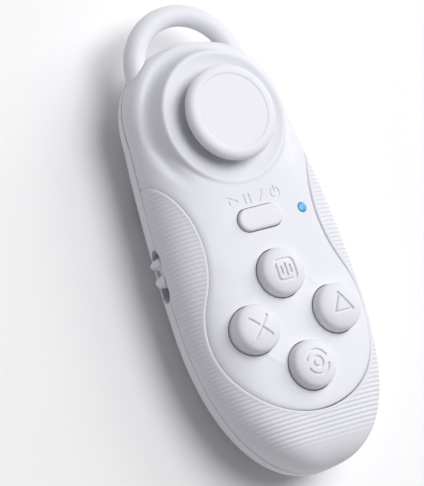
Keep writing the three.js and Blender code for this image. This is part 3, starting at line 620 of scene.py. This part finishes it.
def box_glyph(x, y, width):
    """A rounded square with three bars in it."""
    s = GLYPH_HALF - 0.35
    r = 1.0
    w = width
    lines = [
        straight(x - s + r, y + s, x + s - r, y + s, w),
        straight(x - s + r, y - s, x + s - r, y - s, w),
        straight(x - s, y - s + r, x - s, y + s - r, w),
        straight(x + s, y - s + r, x + s, y + s - r, w),
    ]
    corners = ((1, 1, 0), (-1, 1, 90), (-1, -1, 180), (1, -1, 270))
    for sx, sy, start in corners:
        lines.append(curved(x + sx * (s - r), y + sy * (s - r), r, start, start + 90, w, 8))
    for k, high in ((-1, 0.8), (0, 1.35), (1, 0.8)):
        lines.append(straight(x + k * 1.15, y - high, x + k * 1.15, y + high, w * BAR_SHARE))
    return lines


def cross_glyph(x, y, width):
    s = GLYPH_HALF - 0.45
    return [
        straight(x - s, y + s, x + s, y - s, width),
        straight(x + s, y + s, x - s, y - s, width),
    ]


def triangle_glyph(x, y, width):
    s = GLYPH_HALF + 0.15
    corners = [(x + s * math.cos(t), y + s * math.sin(t)) for t in np.radians([90, 210, 330])]
    return [straight(*corners[k], *corners[k - 1], width) for k in range(3)]


def ring_glyph(x, y, width):
    """A small ring between two arcs."""
    return [
        curved(x, y, 1.15, 0, 182, width),
        curved(x, y, 1.15, 178, 362, width),
        curved(x, y, GLYPH_HALF + 0.1, 25, 160, width),
        curved(x, y, GLYPH_HALF + 0.1, 205, 340, width),
    ]


def legend_strokes():
    """The row over the start key: a play triangle, pause bars, a slash and a power ring."""
    y = LEGEND_Y
    w = LEGEND_WIDTH
    play = ((-6.3, y + 1.05), (-6.3, y - 1.05), (-4.3, y))
    lines = [straight(*play[k], *play[(k + 1) % 3], w) for k in range(3)]
    lines.append(straight(-2.3, y - 1.0, -2.3, y + 1.0, w))
    lines.append(straight(-1.0, y - 1.0, -1.0, y + 1.0, w))
    lines.append(straight(1.4, y - 1.1, 2.6, y + 1.1, w))
    lines.append(curved(5.8, y - 0.05, 1.2, 130, 410, w, 26))
    lines.append(straight(5.8, y + 0.3, 5.8, y + 1.4, w))
    return lines


KEY_GLYPHS = {
    "top_button": box_glyph,
    "left_button": cross_glyph,
    "right_button": triangle_glyph,
    "bottom_button": ring_glyph,
}


# ---------------------------------------------------------------- keys

def key_profile(sink=0.0):
    top = [
        (KEY_R, 0.35), (5.58, 1.1), (5.52, 1.75), (5.36, 2.25), (5.02, 2.64),
        (4.4, 2.95), (3.5, 3.22), (2.3, 3.45), (1.2, 3.56), (0.0, KEY_RISE),
    ]
    side = [(0.0, KEY_FLANGE_Z - FACE_Z), (KEY_R, KEY_FLANGE_Z - FACE_Z), (KEY_R, -0.4)]
    line = [tuple(p) for p in smooth_line(top, 5)]
    line[-1] = (0.0, KEY_RISE)
    return [(r, FACE_Z + z - sink) for r, z in side + line]


def key_button(node):
    x, y = KEY_CENTRES[node]
    key = turned(node + "_fine", key_profile(), (x, y, 0))
    for width, depth in GLYPH_STEPS:
        floor = turned("floor", key_profile(depth), (x, y, 0))
        engrave(key, KEY_GLYPHS[node](x, y, width), FACE_Z + 1.5, FACE_Z + 5, floor)
    wide, long = KEY_FLANGE_HALF
    top = KEY_FLANGE_Z + FLANGE_THICK
    flange = block((x - wide, y - long, KEY_FLANGE_Z), (x + wide, y + long, top))
    carve(key, "UNION", flange)
    return finish_mesh(key, 35)


def pill(low, high, out=0.0, steps=17):
    r = (high[1] - low[1]) / 2 + out - 0.005
    return rounded_rect(low[0] - out, high[0] + out, low[1] - out, high[1] + out, r, steps)


def start_button():
    """A pill with a rolled edge and a slightly crowned top."""
    low, high = START_BOX
    top = START_TOP
    edge = 0.55
    rings = [(0.0, KEY_FLANGE_Z), (0.0, top - edge)]
    for t in np.radians(np.linspace(12, 84, 7)):
        rings.append((edge * (1 - math.cos(t)), top - edge + edge * math.sin(t)))
    rings += [(1.1, top + 0.03), (1.8, top + 0.05), (2.3, top + 0.055)]
    layers = [pill(low, high, -inset) for inset, _ in rings]
    n = len(layers[0])
    points = [(x, y, rings[k][1]) for k, layer in enumerate(layers) for x, y in layer]
    faces = [list(range(n))[::-1], [(len(rings) - 1) * n + i for i in range(n)]]
    for k in range(len(rings) - 1):
        for i in range(n):
            j = (i + 1) % n
            faces.append([k * n + i, k * n + j, (k + 1) * n + j, (k + 1) * n + i])
    key = mesh_object("start_button_fine", points, faces)
    return finish_mesh(key, 40)


# ---------------------------------------------------------------- grip band

def edge_columns(length, near):
    """Distances from the seam along a section: fine at both edges, even between them."""
    inner = np.linspace(near[-1], length - near[-1], BAND_COLUMNS)[1:-1]
    return np.concatenate([near, inner, length - near[::-1]])


def band_rows():
    """Places along y: close together at the grip's tip and where the seam begins."""
    step = RIB_PITCH / RIB_ROWS
    start = KEYS_Y - SEAM_RING_R - SEAM_GAP / 2
    rows = np.arange(GRIP_END + 0.35, BAND_TOP, step)
    ends = GRIP_END + np.array(TIP_ROWS)
    extra = start + np.array([-0.05, 0.0, 0.004, 0.02, 0.05])
    return np.unique(np.round(np.concatenate([ends, rows, extra, [BAND_TOP]]), 6))


def band_floor(y):
    """The band's lower edge: the parting line, raised over the slider's slot."""
    middle = (SLOT_Y[0] + SLOT_Y[1]) / 2
    straight_half = (SLOT_Y[1] - SLOT_Y[0]) / 2 - SLOT_HALF
    beyond = np.maximum(0, np.abs(y - middle) - straight_half)
    roof = SLOT_Z + np.sqrt(np.maximum(0, SLOT_HALF**2 - beyond**2))
    return np.maximum(PARTING_Z + PARTING_GAP / 2, roof)


def band_row(y, side):
    """One row of the band, from the seam or the middle plane out to its lower edge, with each
    point's distance from the lower edge."""
    half, rise, _, upper, _ = (float(v) for v in section(y))
    begin = float(seam_x(np.array(y), SEAM_GAP / 2))
    low = float(band_floor(np.array(y))) if side < 0 else PARTING_Z + PARTING_GAP / 2
    near = np.array(EDGE_STEPS)
    t0 = math.acos(min(1.0, begin / half) ** (upper / 2)) if begin > 0 else math.pi / 2
    lift = min(1.0, max(0.0, (low - PARTING_Z) / max(rise, 1e-6)))
    t1 = math.asin(lift ** (upper / 2))
    fine = np.linspace(t0, min(t1, t0), 260)
    run = run_along(skin(np.full_like(fine, y), fine))
    length = max(run[-1], 1e-3)
    scale = min(1.0, length / (2.2 * near[-1]))
    at = edge_columns(length, near * scale)
    turns = np.interp(at, run, fine)
    out = skin(np.full_like(turns, y), turns)
    out[:, 0] *= side
    return out, length - at


def band_grid(side):
    """The outer and inner faces of one side, and which rows have a seam edge."""
    rows = [band_row(y, side) for y in band_rows()]
    points = np.array([r[0] for r in rows])
    to_low = np.array([r[1] for r in rows])
    along_y = np.gradient(points, axis=0)
    along_s = np.gradient(points, axis=1)
    normal = np.cross(along_s, along_y) * side
    size = np.linalg.norm(normal, axis=2, keepdims=True)
    normal = normal / np.maximum(size, 1e-9)
    x, y = points[..., 0], points[..., 1]
    from_seam = np.maximum(0, seam_distance(x, y) - SEAM_GAP / 2)
    ribs = (0.5 - 0.5 * np.cos(2 * math.pi * y / RIB_PITCH)) ** RIB_POWER
    mask = smoothstep(from_seam, 0.45, 1.1) * smoothstep(to_low, 0.5, 1.3)
    mask = mask * (1 - smoothstep(-y, *RIB_FADE))
    push = BAND_RAISE * smoothstep(to_low, 0.3, 2.5) - RIB_DEPTH * ribs * mask
    push = push * smoothstep(y, GRIP_END, GRIP_END + 1.5)
    for distance, radius in ((from_seam, EDGE_ROUND), (to_low, PARTING_ROUND)):
        short = np.clip(radius - distance, 0, radius)
        push = push - (radius - np.sqrt(radius**2 - short**2))
    outer = points + normal * push[..., None]
    inner = points - normal * BAND_WALL
    inner[..., 2] = np.maximum(inner[..., 2], PARTING_Z + PARTING_GAP / 2)
    open_rows = y[:, 0] >= KEYS_Y - SEAM_RING_R - SEAM_GAP / 2 - 1e-6
    for layer in (outer, inner):
        layer[~open_rows, 0, 0] = 0
    return outer, inner, open_rows


def grip_band():
    """Both sides of the band with their inside faces, closed at the seam and the lower edge."""
    points = []
    faces = []
    for side in (1, -1):
        outer, inner, open_rows = band_grid(side)
        wide = np.linalg.norm(outer[:, 0] - outer[:, -1], axis=1) > BAND_WELD
        tip = np.flatnonzero(wide)[-1] + 2  # the first row with no width closes the tip
        outer, inner = outer[:tip], inner[:tip]
        rows, n, _ = outer.shape
        base = len(points)
        points += outer.reshape(-1, 3).tolist() + inner.reshape(-1, 3).tolist()
        under = base + rows * n
        for r in range(rows - 1):
            for i in range(n - 1):
                a = r * n + i
                quad = [a, a + 1, a + n + 1, a + n]
                top = [base + q for q in quad]
                low = [under + q for q in quad[::-1]]
                faces += [top, low] if side > 0 else [top[::-1], low[::-1]]
            wall_columns = [n - 1] + ([0] if open_rows[r] else [])
            for i in wall_columns:
                a = r * n + i
                strip = [base + a, base + a + n, under + a + n, under + a]
                flip = (i == 0) == (side > 0)
                faces.append(strip if flip else strip[::-1])
        for r, flip in ((0, side < 0), (rows - 1, side > 0)):
            for i in range(n - 1):
                a = r * n + i
                strip = [base + a, base + a + 1, under + a + 1, under + a]
                faces.append(strip if flip else strip[::-1])
    band = mesh_object("grip_band_fine", points, faces)
    weld = band.modifiers.new("weld", "WELD")
    weld.merge_threshold = BAND_WELD
    evaluated(band)
    band.data.validate()
    return finish_mesh(band, 50)


# ---------------------------------------------------------------- back shell, door, finger keys

def screw_seat(x, y):
    """The height that a screw's head bears on, inside its recess."""
    half, _, drop, _, lower = (float(v) for v in section(y))
    skin_z = PARTING_Z - drop * float(fall(np.array(abs(x) / half), lower))
    return max(0, skin_z) + SEAT_DEPTH


def side_pill(y0, y1, half, x0, x1):
    """A pill standing in the side plane at the slot's height, from one x to another."""
    outline = rounded_rect(y0, y1, SLOT_Z - half, SLOT_Z + half, half - 0.005, 15)
    body = prism(outline, x0, x1, "side_pill")
    turn = Matrix(((0, 0, 1, 0), (1, 0, 0, 0), (0, 1, 0, 0), (0, 0, 0, 1)))
    body.data.transform(turn)
    return body


def back_shell():
    shell = form("back_shell_fine", math.pi, 2 * math.pi, 90, 190)
    carve(shell, "DIFFERENCE", inner_form())
    carve(shell, "DIFFERENCE", block((-FAR, -FAR, PARTING_Z - PARTING_GAP / 2), (FAR, FAR, FAR)))
    cuts = [prism(door_outline(GAP), -1, 4.5, "door_hole")]
    for (y0, y1), _ in TRIGGERS.values():
        cuts.append(prism(trigger_outline(y0, y1, GAP), -1, 8.5, "key_hole"))
    cuts += [side_pill(*SLOT_Y, SLOT_HALF, -25, -17), strap_loop_solid(LOOP_CLEARANCE)]
    carve(shell, "DIFFERENCE", *cuts)
    for x, y in SCREWS:
        seat = screw_seat(x, y)
        boss = rod(BOSS_R + BOSS_WALL, seat - BOSS_UNDER_SEAT, PARTING_Z - GAP, x, y)
        carve(shell, "UNION", boss)
        carve(shell, "DIFFERENCE", rod(SHANK_R + GAP, -1, PARTING_Z, x, y))
        carve(shell, "DIFFERENCE", rod(BOSS_R, -1, seat + GAP, x, y))
    soften(shell, 0.26, 3)
    return finish_mesh(shell)


def door_outline(out):
    half = DOOR_HALF + out
    return rounded_rect(-half, half, DOOR_Y[0] - out, DOOR_Y[1] + out, 2.5 + out)


def trigger_outline(y0, y1, out):
    return rounded_rect(-TRIGGER_HALF - out, TRIGGER_HALF + out, y0 - out, y1 + out, 2.4 + out)


def battery_door():
    door = form("battery_door_fine", math.pi, 2 * math.pi, 90, 190)
    carve(door, "INTERSECT", prism(door_outline(0), -1, 4, "door"))
    carve(door, "DIFFERENCE", inner_form())
    grooves = []
    for i in range(4):
        y = DOOR_Y[1] - 3.2 - 1.5 * i
        grooves.append(prism(stroke([(-4, y), (0, y), (4, y)], 0.7), -1, 0.45, "groove"))
    carve(door, "DIFFERENCE", *grooves)
    soften(door, 0.2, 5)
    return finish_mesh(door)


def finger_key(node):
    (y0, y1), plate_z = TRIGGERS[node]
    key = form(node + "_fine", 0, 2 * math.pi, 90, 260, -TRIGGER_RISE)
    carve(key, "INTERSECT", prism(trigger_outline(y0, y1, 0), 0.2, plate_z + 0.5, "key"))
    soften(key, 0.16, 12)
    wide = TRIGGER_HALF + PLATE_WING
    plate = block((-wide, y0 + 1, plate_z), (wide, y1 - 1, plate_z + FLANGE_THICK))
    carve(key, "UNION", plate)
    return finish_mesh(key, 50)


# ---------------------------------------------------------------- strap loop, stick, slider, screws

def strap_loop_solid(out=0.0, steps=80, sides=40):
    """The strap eye: a slightly flattened round bar bent to a half ring, with straight legs."""
    turns = np.linspace(0, math.pi, steps)
    path = [(LOOP_R, LOOP_FOOT_Y, LOOP_Z)]
    path += [(LOOP_R * math.cos(t), LOOP_Y + LOOP_R * math.sin(t), LOOP_Z) for t in turns]
    path += [(-LOOP_R, LOOP_FOOT_Y, LOOP_Z)]
    path = np.array(path)
    way = np.gradient(path, axis=0)
    way[0] = (0, 1, 0)
    way[-1] = (0, -1, 0)
    way /= np.linalg.norm(way, axis=1)[:, None]
    across = np.stack([way[:, 1], -way[:, 0], np.zeros(len(way))], -1)
    around = np.linspace(0, 2 * math.pi, sides, endpoint=False)
    r = LOOP_TUBE_R + out
    rings = path[:, None] + across[:, None] * (r * np.cos(around))[None, :, None]
    rings = rings + np.array([0, 0, 1.0]) * (r * LOOP_FLATNESS * np.sin(around))[None, :, None]
    return tube_solid("strap_loop_fine", rings, path[0], path[-1])


def stick_cap():
    """The thumb disc: a rolled rim, a fine ring groove and a shallow dish inside it."""
    low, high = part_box("stick_cap")
    top = high.z / MM
    r = high.x / MM
    rim = [
        (3.6, top - 2.95), (r - 1.4, top - 2.9), (r - 0.5, top - 2.6), (r - 0.06, top - 1.95),
        (r, top - 1.4), (r - 0.14, top - 0.85), (r - 0.6, top - 0.33), (r - 1.3, top - 0.05),
        (r - 1.9, top), (r - 2.3, top - 0.03), (r - 2.6, top - 0.14), (r - 2.9, top - 0.16),
        (r - 3.4, top - 0.17), (r - 5, top - 0.22), (3.0, top - 0.3), (0.0, top - 0.34),
    ]
    profile = [(0.0, low.z / MM), (3.4, low.z / MM)] + [tuple(p) for p in smooth_line(rim, 6)]
    profile[-1] = (0.0, top - 0.34)
    return finish_mesh(turned("stick_cap_fine", profile, (0, STICK_Y, 0), 160), 40)


def stick_skirt():
    """The ball-shaped skirt that closes the bowl's mouth as the stick tilts."""
    turns = np.radians(np.linspace(*SKIRT_TURNS, 30))
    profile = []
    for r, line in ((SKIRT_R, turns), (SKIRT_R - SKIRT_WALL, turns[::-1])):
        profile += [(r * math.sin(t), SKIRT_CENTRE_Z + r * math.cos(t)) for t in line]
    return finish_mesh(turned("stick_skirt_fine", profile, (0, STICK_Y, 0), 96), 40)


def mode_slider():
    """A knob with two rounded bars and a deep valley between them, on its plate."""
    y0, y1 = KNOB_Y
    x = KNOB_X
    face = [
        (x + 3.0, y0), (x + 1.5, y0 + 0.1), (x + 0.45, y0 + 0.5), (x, y0 + 1.35),
        (x + 0.1, y0 + 2.3), (x + 0.9, y0 + 2.9), (x + 1.8, y0 + 3.4), (x + 1.85, y0 + 4.3),
        (x + 0.9, y0 + 4.8), (x + 0.15, y0 + 5.2), (x, y0 + 5.85), (x + 0.35, y0 + 6.5),
        (x + 1.2, y0 + 6.95), (x + 3.0, y1),
    ]
    outline = [tuple(p) for p in smooth_line(face, 6)] + [(-17.9, y1), (-17.9, y0)]
    knob = prism(outline[::-1], SLOT_Z - 3, SLOT_Z + 3, "mode_slider_fine")
    carve(knob, "INTERSECT", side_pill(y0, y1, KNOB_HALF, x - 1, -17))
    soften(knob, 0.1, 3)
    low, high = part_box("mode_slider")
    plate = block(
        (-18.3, low.y / MM, SLOT_Z - 2), (high.x / MM, high.y / MM, SLOT_Z + 1.2), "plate"
    )
    carve(knob, "UNION", plate)
    return finish_mesh(knob, 50)


def housing_screw(index):
    """A pan head with a cross recess, and its shank as a plain rod."""
    x, y = SCREWS[index]
    seat = screw_seat(x, y)
    r = SCREW_HEAD_R
    profile = [
        (0.0, seat - 1.3), (0.7, seat - 1.3), (1.2, seat - 1.26), (1.6, seat - 1.12),
        (1.82, seat - 0.85), (r, seat - 0.5), (r, seat),
        (SHANK_R, seat), (SHANK_R, SHANK_TOP), (0.0, SHANK_TOP),
    ]
    screw = turned(f"housing_screw_{index + 1}_fine", profile, (x, y, 0), 64)
    for wide, long in ((0.25, 1.1), (1.1, 0.25)):
        carve(screw, "DIFFERENCE", block((x - wide, y - long, 0), (x + wide, y + long, seat - 0.8)))
    return finish_mesh(screw, 35)


def light_pipe():
    """The lens over the LED: a low dome with a rolled edge, level with the face."""
    low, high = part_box("led_light_pipe")
    z0 = low.z / MM
    z1 = high.z / MM
    profile = [(0.0, z0), (LED_R, z0), (LED_R, z1 - 0.3), (LED_R - 0.05, z1 - 0.2)]
    profile += [(LED_R * 0.85, z1 - 0.12), (LED_R * 0.6, z1 - 0.05), (LED_R * 0.3, z1 - 0.01)]
    profile.append((0.0, z1))
    return finish_mesh(turned("light_pipe_fine", profile, (*LED_AT, 0), 64), 50)


# ---------------------------------------------------------------- domes under the keys

def rubber_dome(node, wide):
    """A silicone dome on the contact mat: a thin flared foot, a waist and a flat crown."""
    low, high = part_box(node)
    x, y = middle_of(node)
    z0 = low.z / MM
    z1 = high.z / MM
    profile = smooth_line(
        [
            (wide, z0), (wide, z0 + 0.28), (wide - 0.35, z0 + 0.42), (wide * 0.72, z0 + 0.75),
            (wide * 0.62, z1 - 0.4), (wide * 0.56, z1 - 0.12), (wide * 0.5, z1),
        ],
        5,
    )
    profile = [(0.0, z0)] + [tuple(p) for p in profile] + [(wide * 0.3, z1 - 0.04), (0.0, z1 - 0.05)]
    return finish_mesh(turned(node + "_fine", profile, (x, y, 0), 64), 45)


def snap_dome(node):
    """A stamped metal dome under a finger key, with its actuator nub below."""
    low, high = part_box(node)
    x, y = middle_of(node)
    z0 = low.z / MM
    z1 = high.z / MM
    tall = z1 - z0
    r = (high.x - low.x) / 2 / MM
    profile = [
        (0.0, z0), (0.5 * r, z0), (0.62 * r, z0 + 0.12 * tall), (0.78 * r, z0 + 0.4 * tall),
        (0.93 * r, z0 + 0.62 * tall), (r, z0 + 0.75 * tall), (r, z1), (0.0, z1),
    ]
    return finish_mesh(turned(node + "_fine", profile, (x, y, 0), 64), 45)


# ---------------------------------------------------------------- materials

class Shader:
    """A Principled material with its texture nodes, in object coordinates in metres."""

    def __init__(self, name, color, roughness, metallic=0.0):
        self.material = bpy.data.materials.new(name)
        self.material.use_nodes = True
        self.tree = self.material.node_tree
        self.shader = self.tree.nodes["Principled BSDF"]
        self.shader.inputs["Base Color"].default_value = (*color, 1)
        self.shader.inputs["Roughness"].default_value = roughness
        self.shader.inputs["Metallic"].default_value = metallic
        coords = self.tree.nodes.new("ShaderNodeTexCoord")
        self.coords = coords.outputs["Object"]

    def noise(self, size_mm, detail=2.0, coords=None):
        node = self.tree.nodes.new("ShaderNodeTexNoise")
        node.inputs["Scale"].default_value = 1 / (size_mm * MM)
        node.inputs["Detail"].default_value = detail
        self.tree.links.new(coords or self.coords, node.inputs["Vector"])
        return node.outputs["Fac"]

    def stretched(self, size_mm, stretch):
        """Noise drawn out along an axis, as on brushed or rolled metal."""
        mapping = self.tree.nodes.new("ShaderNodeMapping")
        mapping.inputs["Scale"].default_value = stretch
        self.tree.links.new(self.coords, mapping.inputs["Vector"])
        return self.noise(size_mm, coords=mapping.outputs["Vector"])

    def tint(self, source, low, high, edges=(0.35, 0.65)):
        ramp = self.tree.nodes.new("ShaderNodeValToRGB")
        ramp.color_ramp.elements[0].position = edges[0]
        ramp.color_ramp.elements[1].position = edges[1]
        ramp.color_ramp.elements[0].color = (*low, 1)
        ramp.color_ramp.elements[1].color = (*high, 1)
        self.tree.links.new(source, ramp.inputs["Fac"])
        self.tree.links.new(ramp.outputs["Color"], self.shader.inputs["Base Color"])

    def rough(self, source, low, high):
        spread = self.tree.nodes.new("ShaderNodeMapRange")
        spread.inputs["From Min"].default_value = 0.3
        spread.inputs["From Max"].default_value = 0.7
        spread.inputs["To Min"].default_value = low
        spread.inputs["To Max"].default_value = high
        self.tree.links.new(source, spread.inputs["Value"])
        self.tree.links.new(spread.outputs["Result"], self.shader.inputs["Roughness"])

    def bump(self, source, height_mm, strength=1.0):
        node = self.tree.nodes.new("ShaderNodeBump")
        node.inputs["Distance"].default_value = height_mm * MM
        node.inputs["Strength"].default_value = strength
        self.tree.links.new(source, node.inputs["Height"])
        self.tree.links.new(node.outputs["Normal"], self.shader.inputs["Normal"])


def shade(color, amount):
    return tuple(min(1.0, max(0.0, c * amount)) for c in color)


def moulded(name, color, roughness, grain_mm=0.22, grain_height=0.006, spread=0.06):
    """Injection-moulded plastic: a spark-eroded grain, faint flow tint, uneven gloss."""
    s = Shader(name, color, roughness)
    s.shader.inputs["Specular IOR Level"].default_value = 0.35
    s.tint(s.noise(14, 3), shade(color, 0.985), shade(color, 1.012))
    s.rough(s.noise(5, 4), roughness - spread, roughness + spread)
    s.bump(s.noise(grain_mm, 3), grain_height)
    return s.material


def rolled_metal(name, color, roughness, stretch=(1, 6, 1)):
    """Plated sheet or wire: fine lines along the rolling direction, uneven gloss."""
    s = Shader(name, color, roughness, 1.0)
    s.tint(s.noise(3, 4), shade(color, 0.88), shade(color, 1.05))
    s.rough(s.stretched(0.4, stretch), roughness - 0.08, roughness + 0.1)
    s.bump(s.stretched(0.25, stretch), 0.004)
    return s.material


def rubber(name, color):
    s = Shader(name, color, 0.75)
    s.tint(s.noise(4, 3), shade(color, 0.9), shade(color, 1.08))
    s.rough(s.noise(1.5, 2), 0.65, 0.85)
    s.bump(s.noise(0.3, 2), 0.012)
    return s.material


def circuit_board(name, color):
    """Solder mask over copper: cells of copper show through it as a lighter green."""
    s = Shader(name, color, 0.4)
    cells = s.tree.nodes.new("ShaderNodeTexVoronoi")
    cells.distance = "MANHATTAN"
    cells.feature = "DISTANCE_TO_EDGE"
    cells.inputs["Scale"].default_value = 1 / (2.4 * MM)
    s.tree.links.new(s.coords, cells.inputs["Vector"])
    s.tint(cells.outputs["Distance"], shade(color, 1.9), color, (0.04, 0.09))
    s.rough(s.noise(2, 2), 0.3, 0.45)
    s.bump(cells.outputs["Distance"], 0.02, 0.4)
    return s.material


def cell_sleeve(name, color):
    """A printed sleeve: a plain coloured wrap with two bands across it."""
    s = Shader(name, color, 0.3, 0.6)
    split = s.tree.nodes.new("ShaderNodeSeparateXYZ")
    s.tree.links.new(s.coords, split.inputs["Vector"])
    ramp = s.tree.nodes.new("ShaderNodeValToRGB")
    ramp.color_ramp.interpolation = "CONSTANT"
    spread = s.tree.nodes.new("ShaderNodeMapRange")
    spread.inputs["From Min"].default_value = -0.042
    spread.inputs["From Max"].default_value = 0.006
    s.tree.links.new(split.outputs["Y"], spread.inputs["Value"])
    s.tree.links.new(spread.outputs["Result"], ramp.inputs["Fac"])
    stops = ramp.color_ramp.elements
    stops[0].color = (0.55, 0.56, 0.58, 1)
    stops[1].position = 0.1
    stops[1].color = (*color, 1)
    for position, tone in ((0.62, (0.75, 0.42, 0.12)), (0.7, color), (0.92, (0.55, 0.56, 0.58))):
        stop = stops.new(position)
        stop.color = (*tone, 1)
    s.tree.links.new(ramp.outputs["Color"], s.shader.inputs["Base Color"])
    s.rough(s.noise(3, 2), 0.22, 0.4)
    s.bump(s.noise(0.6, 2), 0.004)
    return s.material


def lens_plastic(name, color, glow):
    s = Shader(name, color, 0.16)
    s.tint(s.noise(0.9, 2), shade(color, 0.92), shade(color, 1.08))
    s.rough(s.noise(0.5, 2), 0.1, 0.24)
    s.bump(s.noise(0.3, 2), 0.003)
    s.shader.inputs["Emission Color"].default_value = (*color, 1)
    s.shader.inputs["Emission Strength"].default_value = glow
    return s.material


def floor_material():
    s = Shader("studio_floor", (0.94, 0.94, 0.945), 0.6)
    s.tint(s.noise(90, 2), (0.935, 0.935, 0.94), (0.95, 0.95, 0.955))
    s.bump(s.noise(2, 2), 0.01)
    return s.material


WHITE = (0.81, 0.81, 0.865)
MATERIALS = {
    "housing_plastic": lambda n: moulded(n, WHITE, 0.5),
    "grip_plastic": lambda n: moulded(n, (0.79, 0.79, 0.84), 0.55, 0.2, 0.008),
    "key_plastic": lambda n: moulded(n, (0.82, 0.82, 0.87), 0.46, 0.3, 0.003, 0.05),
    "light_pipe": lambda n: lens_plastic(n, (0.10, 0.43, 0.70), 0.06),
    "led": lambda n: lens_plastic(n, (0.75, 0.86, 1.0), 0.2),
    "dark_plastic": lambda n: moulded(n, (0.035, 0.035, 0.04), 0.5),
    "grey_plastic": lambda n: moulded(n, (0.16, 0.165, 0.18), 0.5),
    "green_board": lambda n: circuit_board(n, (0.02, 0.13, 0.06)),
    "phenolic": lambda n: circuit_board(n, (0.03, 0.12, 0.05)),
    "silicone": lambda n: rubber(n, (0.26, 0.27, 0.29)),
    "steel_screw": lambda n: rolled_metal(n, (0.60, 0.61, 0.63), 0.32, (3, 3, 1)),
    "tin_can": lambda n: rolled_metal(n, (0.68, 0.69, 0.71), 0.36),
    "nickel_contact": lambda n: rolled_metal(n, (0.72, 0.71, 0.68), 0.24),
    "snap_dome": lambda n: rolled_metal(n, (0.62, 0.55, 0.40), 0.3, (3, 3, 1)),
    "cell_label": lambda n: cell_sleeve(n, (0.05, 0.16, 0.34)),
    "tray_plastic": lambda n: moulded(n, (0.72, 0.72, 0.74), 0.5),
    "ribbon": lambda n: moulded(n, (0.62, 0.55, 0.40), 0.4, 0.5, 0.004),
    "wire_red": lambda n: moulded(n, (0.45, 0.03, 0.02), 0.38, 0.4, 0.004),
    "wire_black": lambda n: moulded(n, (0.02, 0.02, 0.02), 0.38, 0.4, 0.004),
}


# ---------------------------------------------------------------- putting it together

def middle_of(node):
    low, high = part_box(node)
    return ((low.x + high.x) / 2 / MM, (low.y + high.y) / 2 / MM)


KEY_CENTRES = {node: middle_of(node) for node in KEY_GLYPHS}
LED_AT = middle_of("led_light_pipe")
LED_R = (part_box("led_light_pipe")[1].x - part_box("led_light_pipe")[0].x) / 2 / MM
START_AT = middle_of("start_button")
START_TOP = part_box("start_button")[1].z / MM
START_BOX = (
    (START_AT[0] - START_HALF[0], START_AT[1] - START_HALF[1]),
    (START_AT[0] + START_HALF[0], START_AT[1] + START_HALF[1]),
)
LEGEND_Y = START_AT[1] + LEGEND_OVER_START

SLOT_OF = {s["node"]: s["material_slot"] for s in frame["record"]["subparts"]}
BODY_OF = {n: b for b, ns in frame["record"]["behaviour"]["bodies"].items() for n in ns}
PAINT = {slot: make(slot) for slot, make in MATERIALS.items()}


def stand_for(piece, node):
    """The piece takes a CAD node's place: its body, its slot and its material."""
    piece.data.materials.clear()
    piece.data.materials.append(PAINT[SLOT_OF[node]])
    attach(piece, BODY_OF[node])
    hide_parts(node)


def flex(piece, node):
    """The piece takes the node's place, with a mesh of its own."""
    stand_for(piece, node)
    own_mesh(piece)


def paint_frame():
    for node, obj in frame["nodes"].items():
        obj.data.materials.clear()
        obj.data.materials.append(PAINT[SLOT_OF[node]])


def add_floor():
    side = 4.0
    low = CAD_BOX[0].z - 0.00002
    corners = [(-side, -side, low), (side, -side, low), (side, side, low), (-side, side, low)]
    mesh = bpy.data.meshes.new("floor")
    mesh.from_pydata(corners, [], [(0, 1, 2, 3)])
    mesh.materials.append(floor_material())
    new_object("floor", mesh)


add_camera()
add_lights()
add_floor()
paint_frame()

stand_for(face_cover(), "face_cover")
stand_for(grip_band(), "grip_band")
stand_for(back_shell(), "back_shell")
stand_for(battery_door(), "battery_door")
stand_for(finish_mesh(strap_loop_solid()), "strap_loop")
for key_node in KEY_GLYPHS:
    stand_for(key_button(key_node), key_node)
stand_for(start_button(), "start_button")
stand_for(light_pipe(), "led_light_pipe")
stand_for(stick_cap(), "stick_cap")
stand_for(stick_skirt(), "stick_skirt")
stand_for(mode_slider(), "mode_slider")
for trigger_node in TRIGGERS:
    stand_for(finger_key(trigger_node), trigger_node)
for key_name in ("top", "left", "right", "bottom"):
    flex(rubber_dome(f"{key_name}_dome", 3.0), f"{key_name}_dome")
flex(rubber_dome("start_dome", 2.0), "start_dome")
flex(snap_dome("lower_trigger_dome"), "lower_trigger_dome")
flex(snap_dome("upper_trigger_dome"), "upper_trigger_dome")
for screw_index in range(len(SCREWS)):
    stand_for(housing_screw(screw_index), f"housing_screw_{screw_index + 1}")
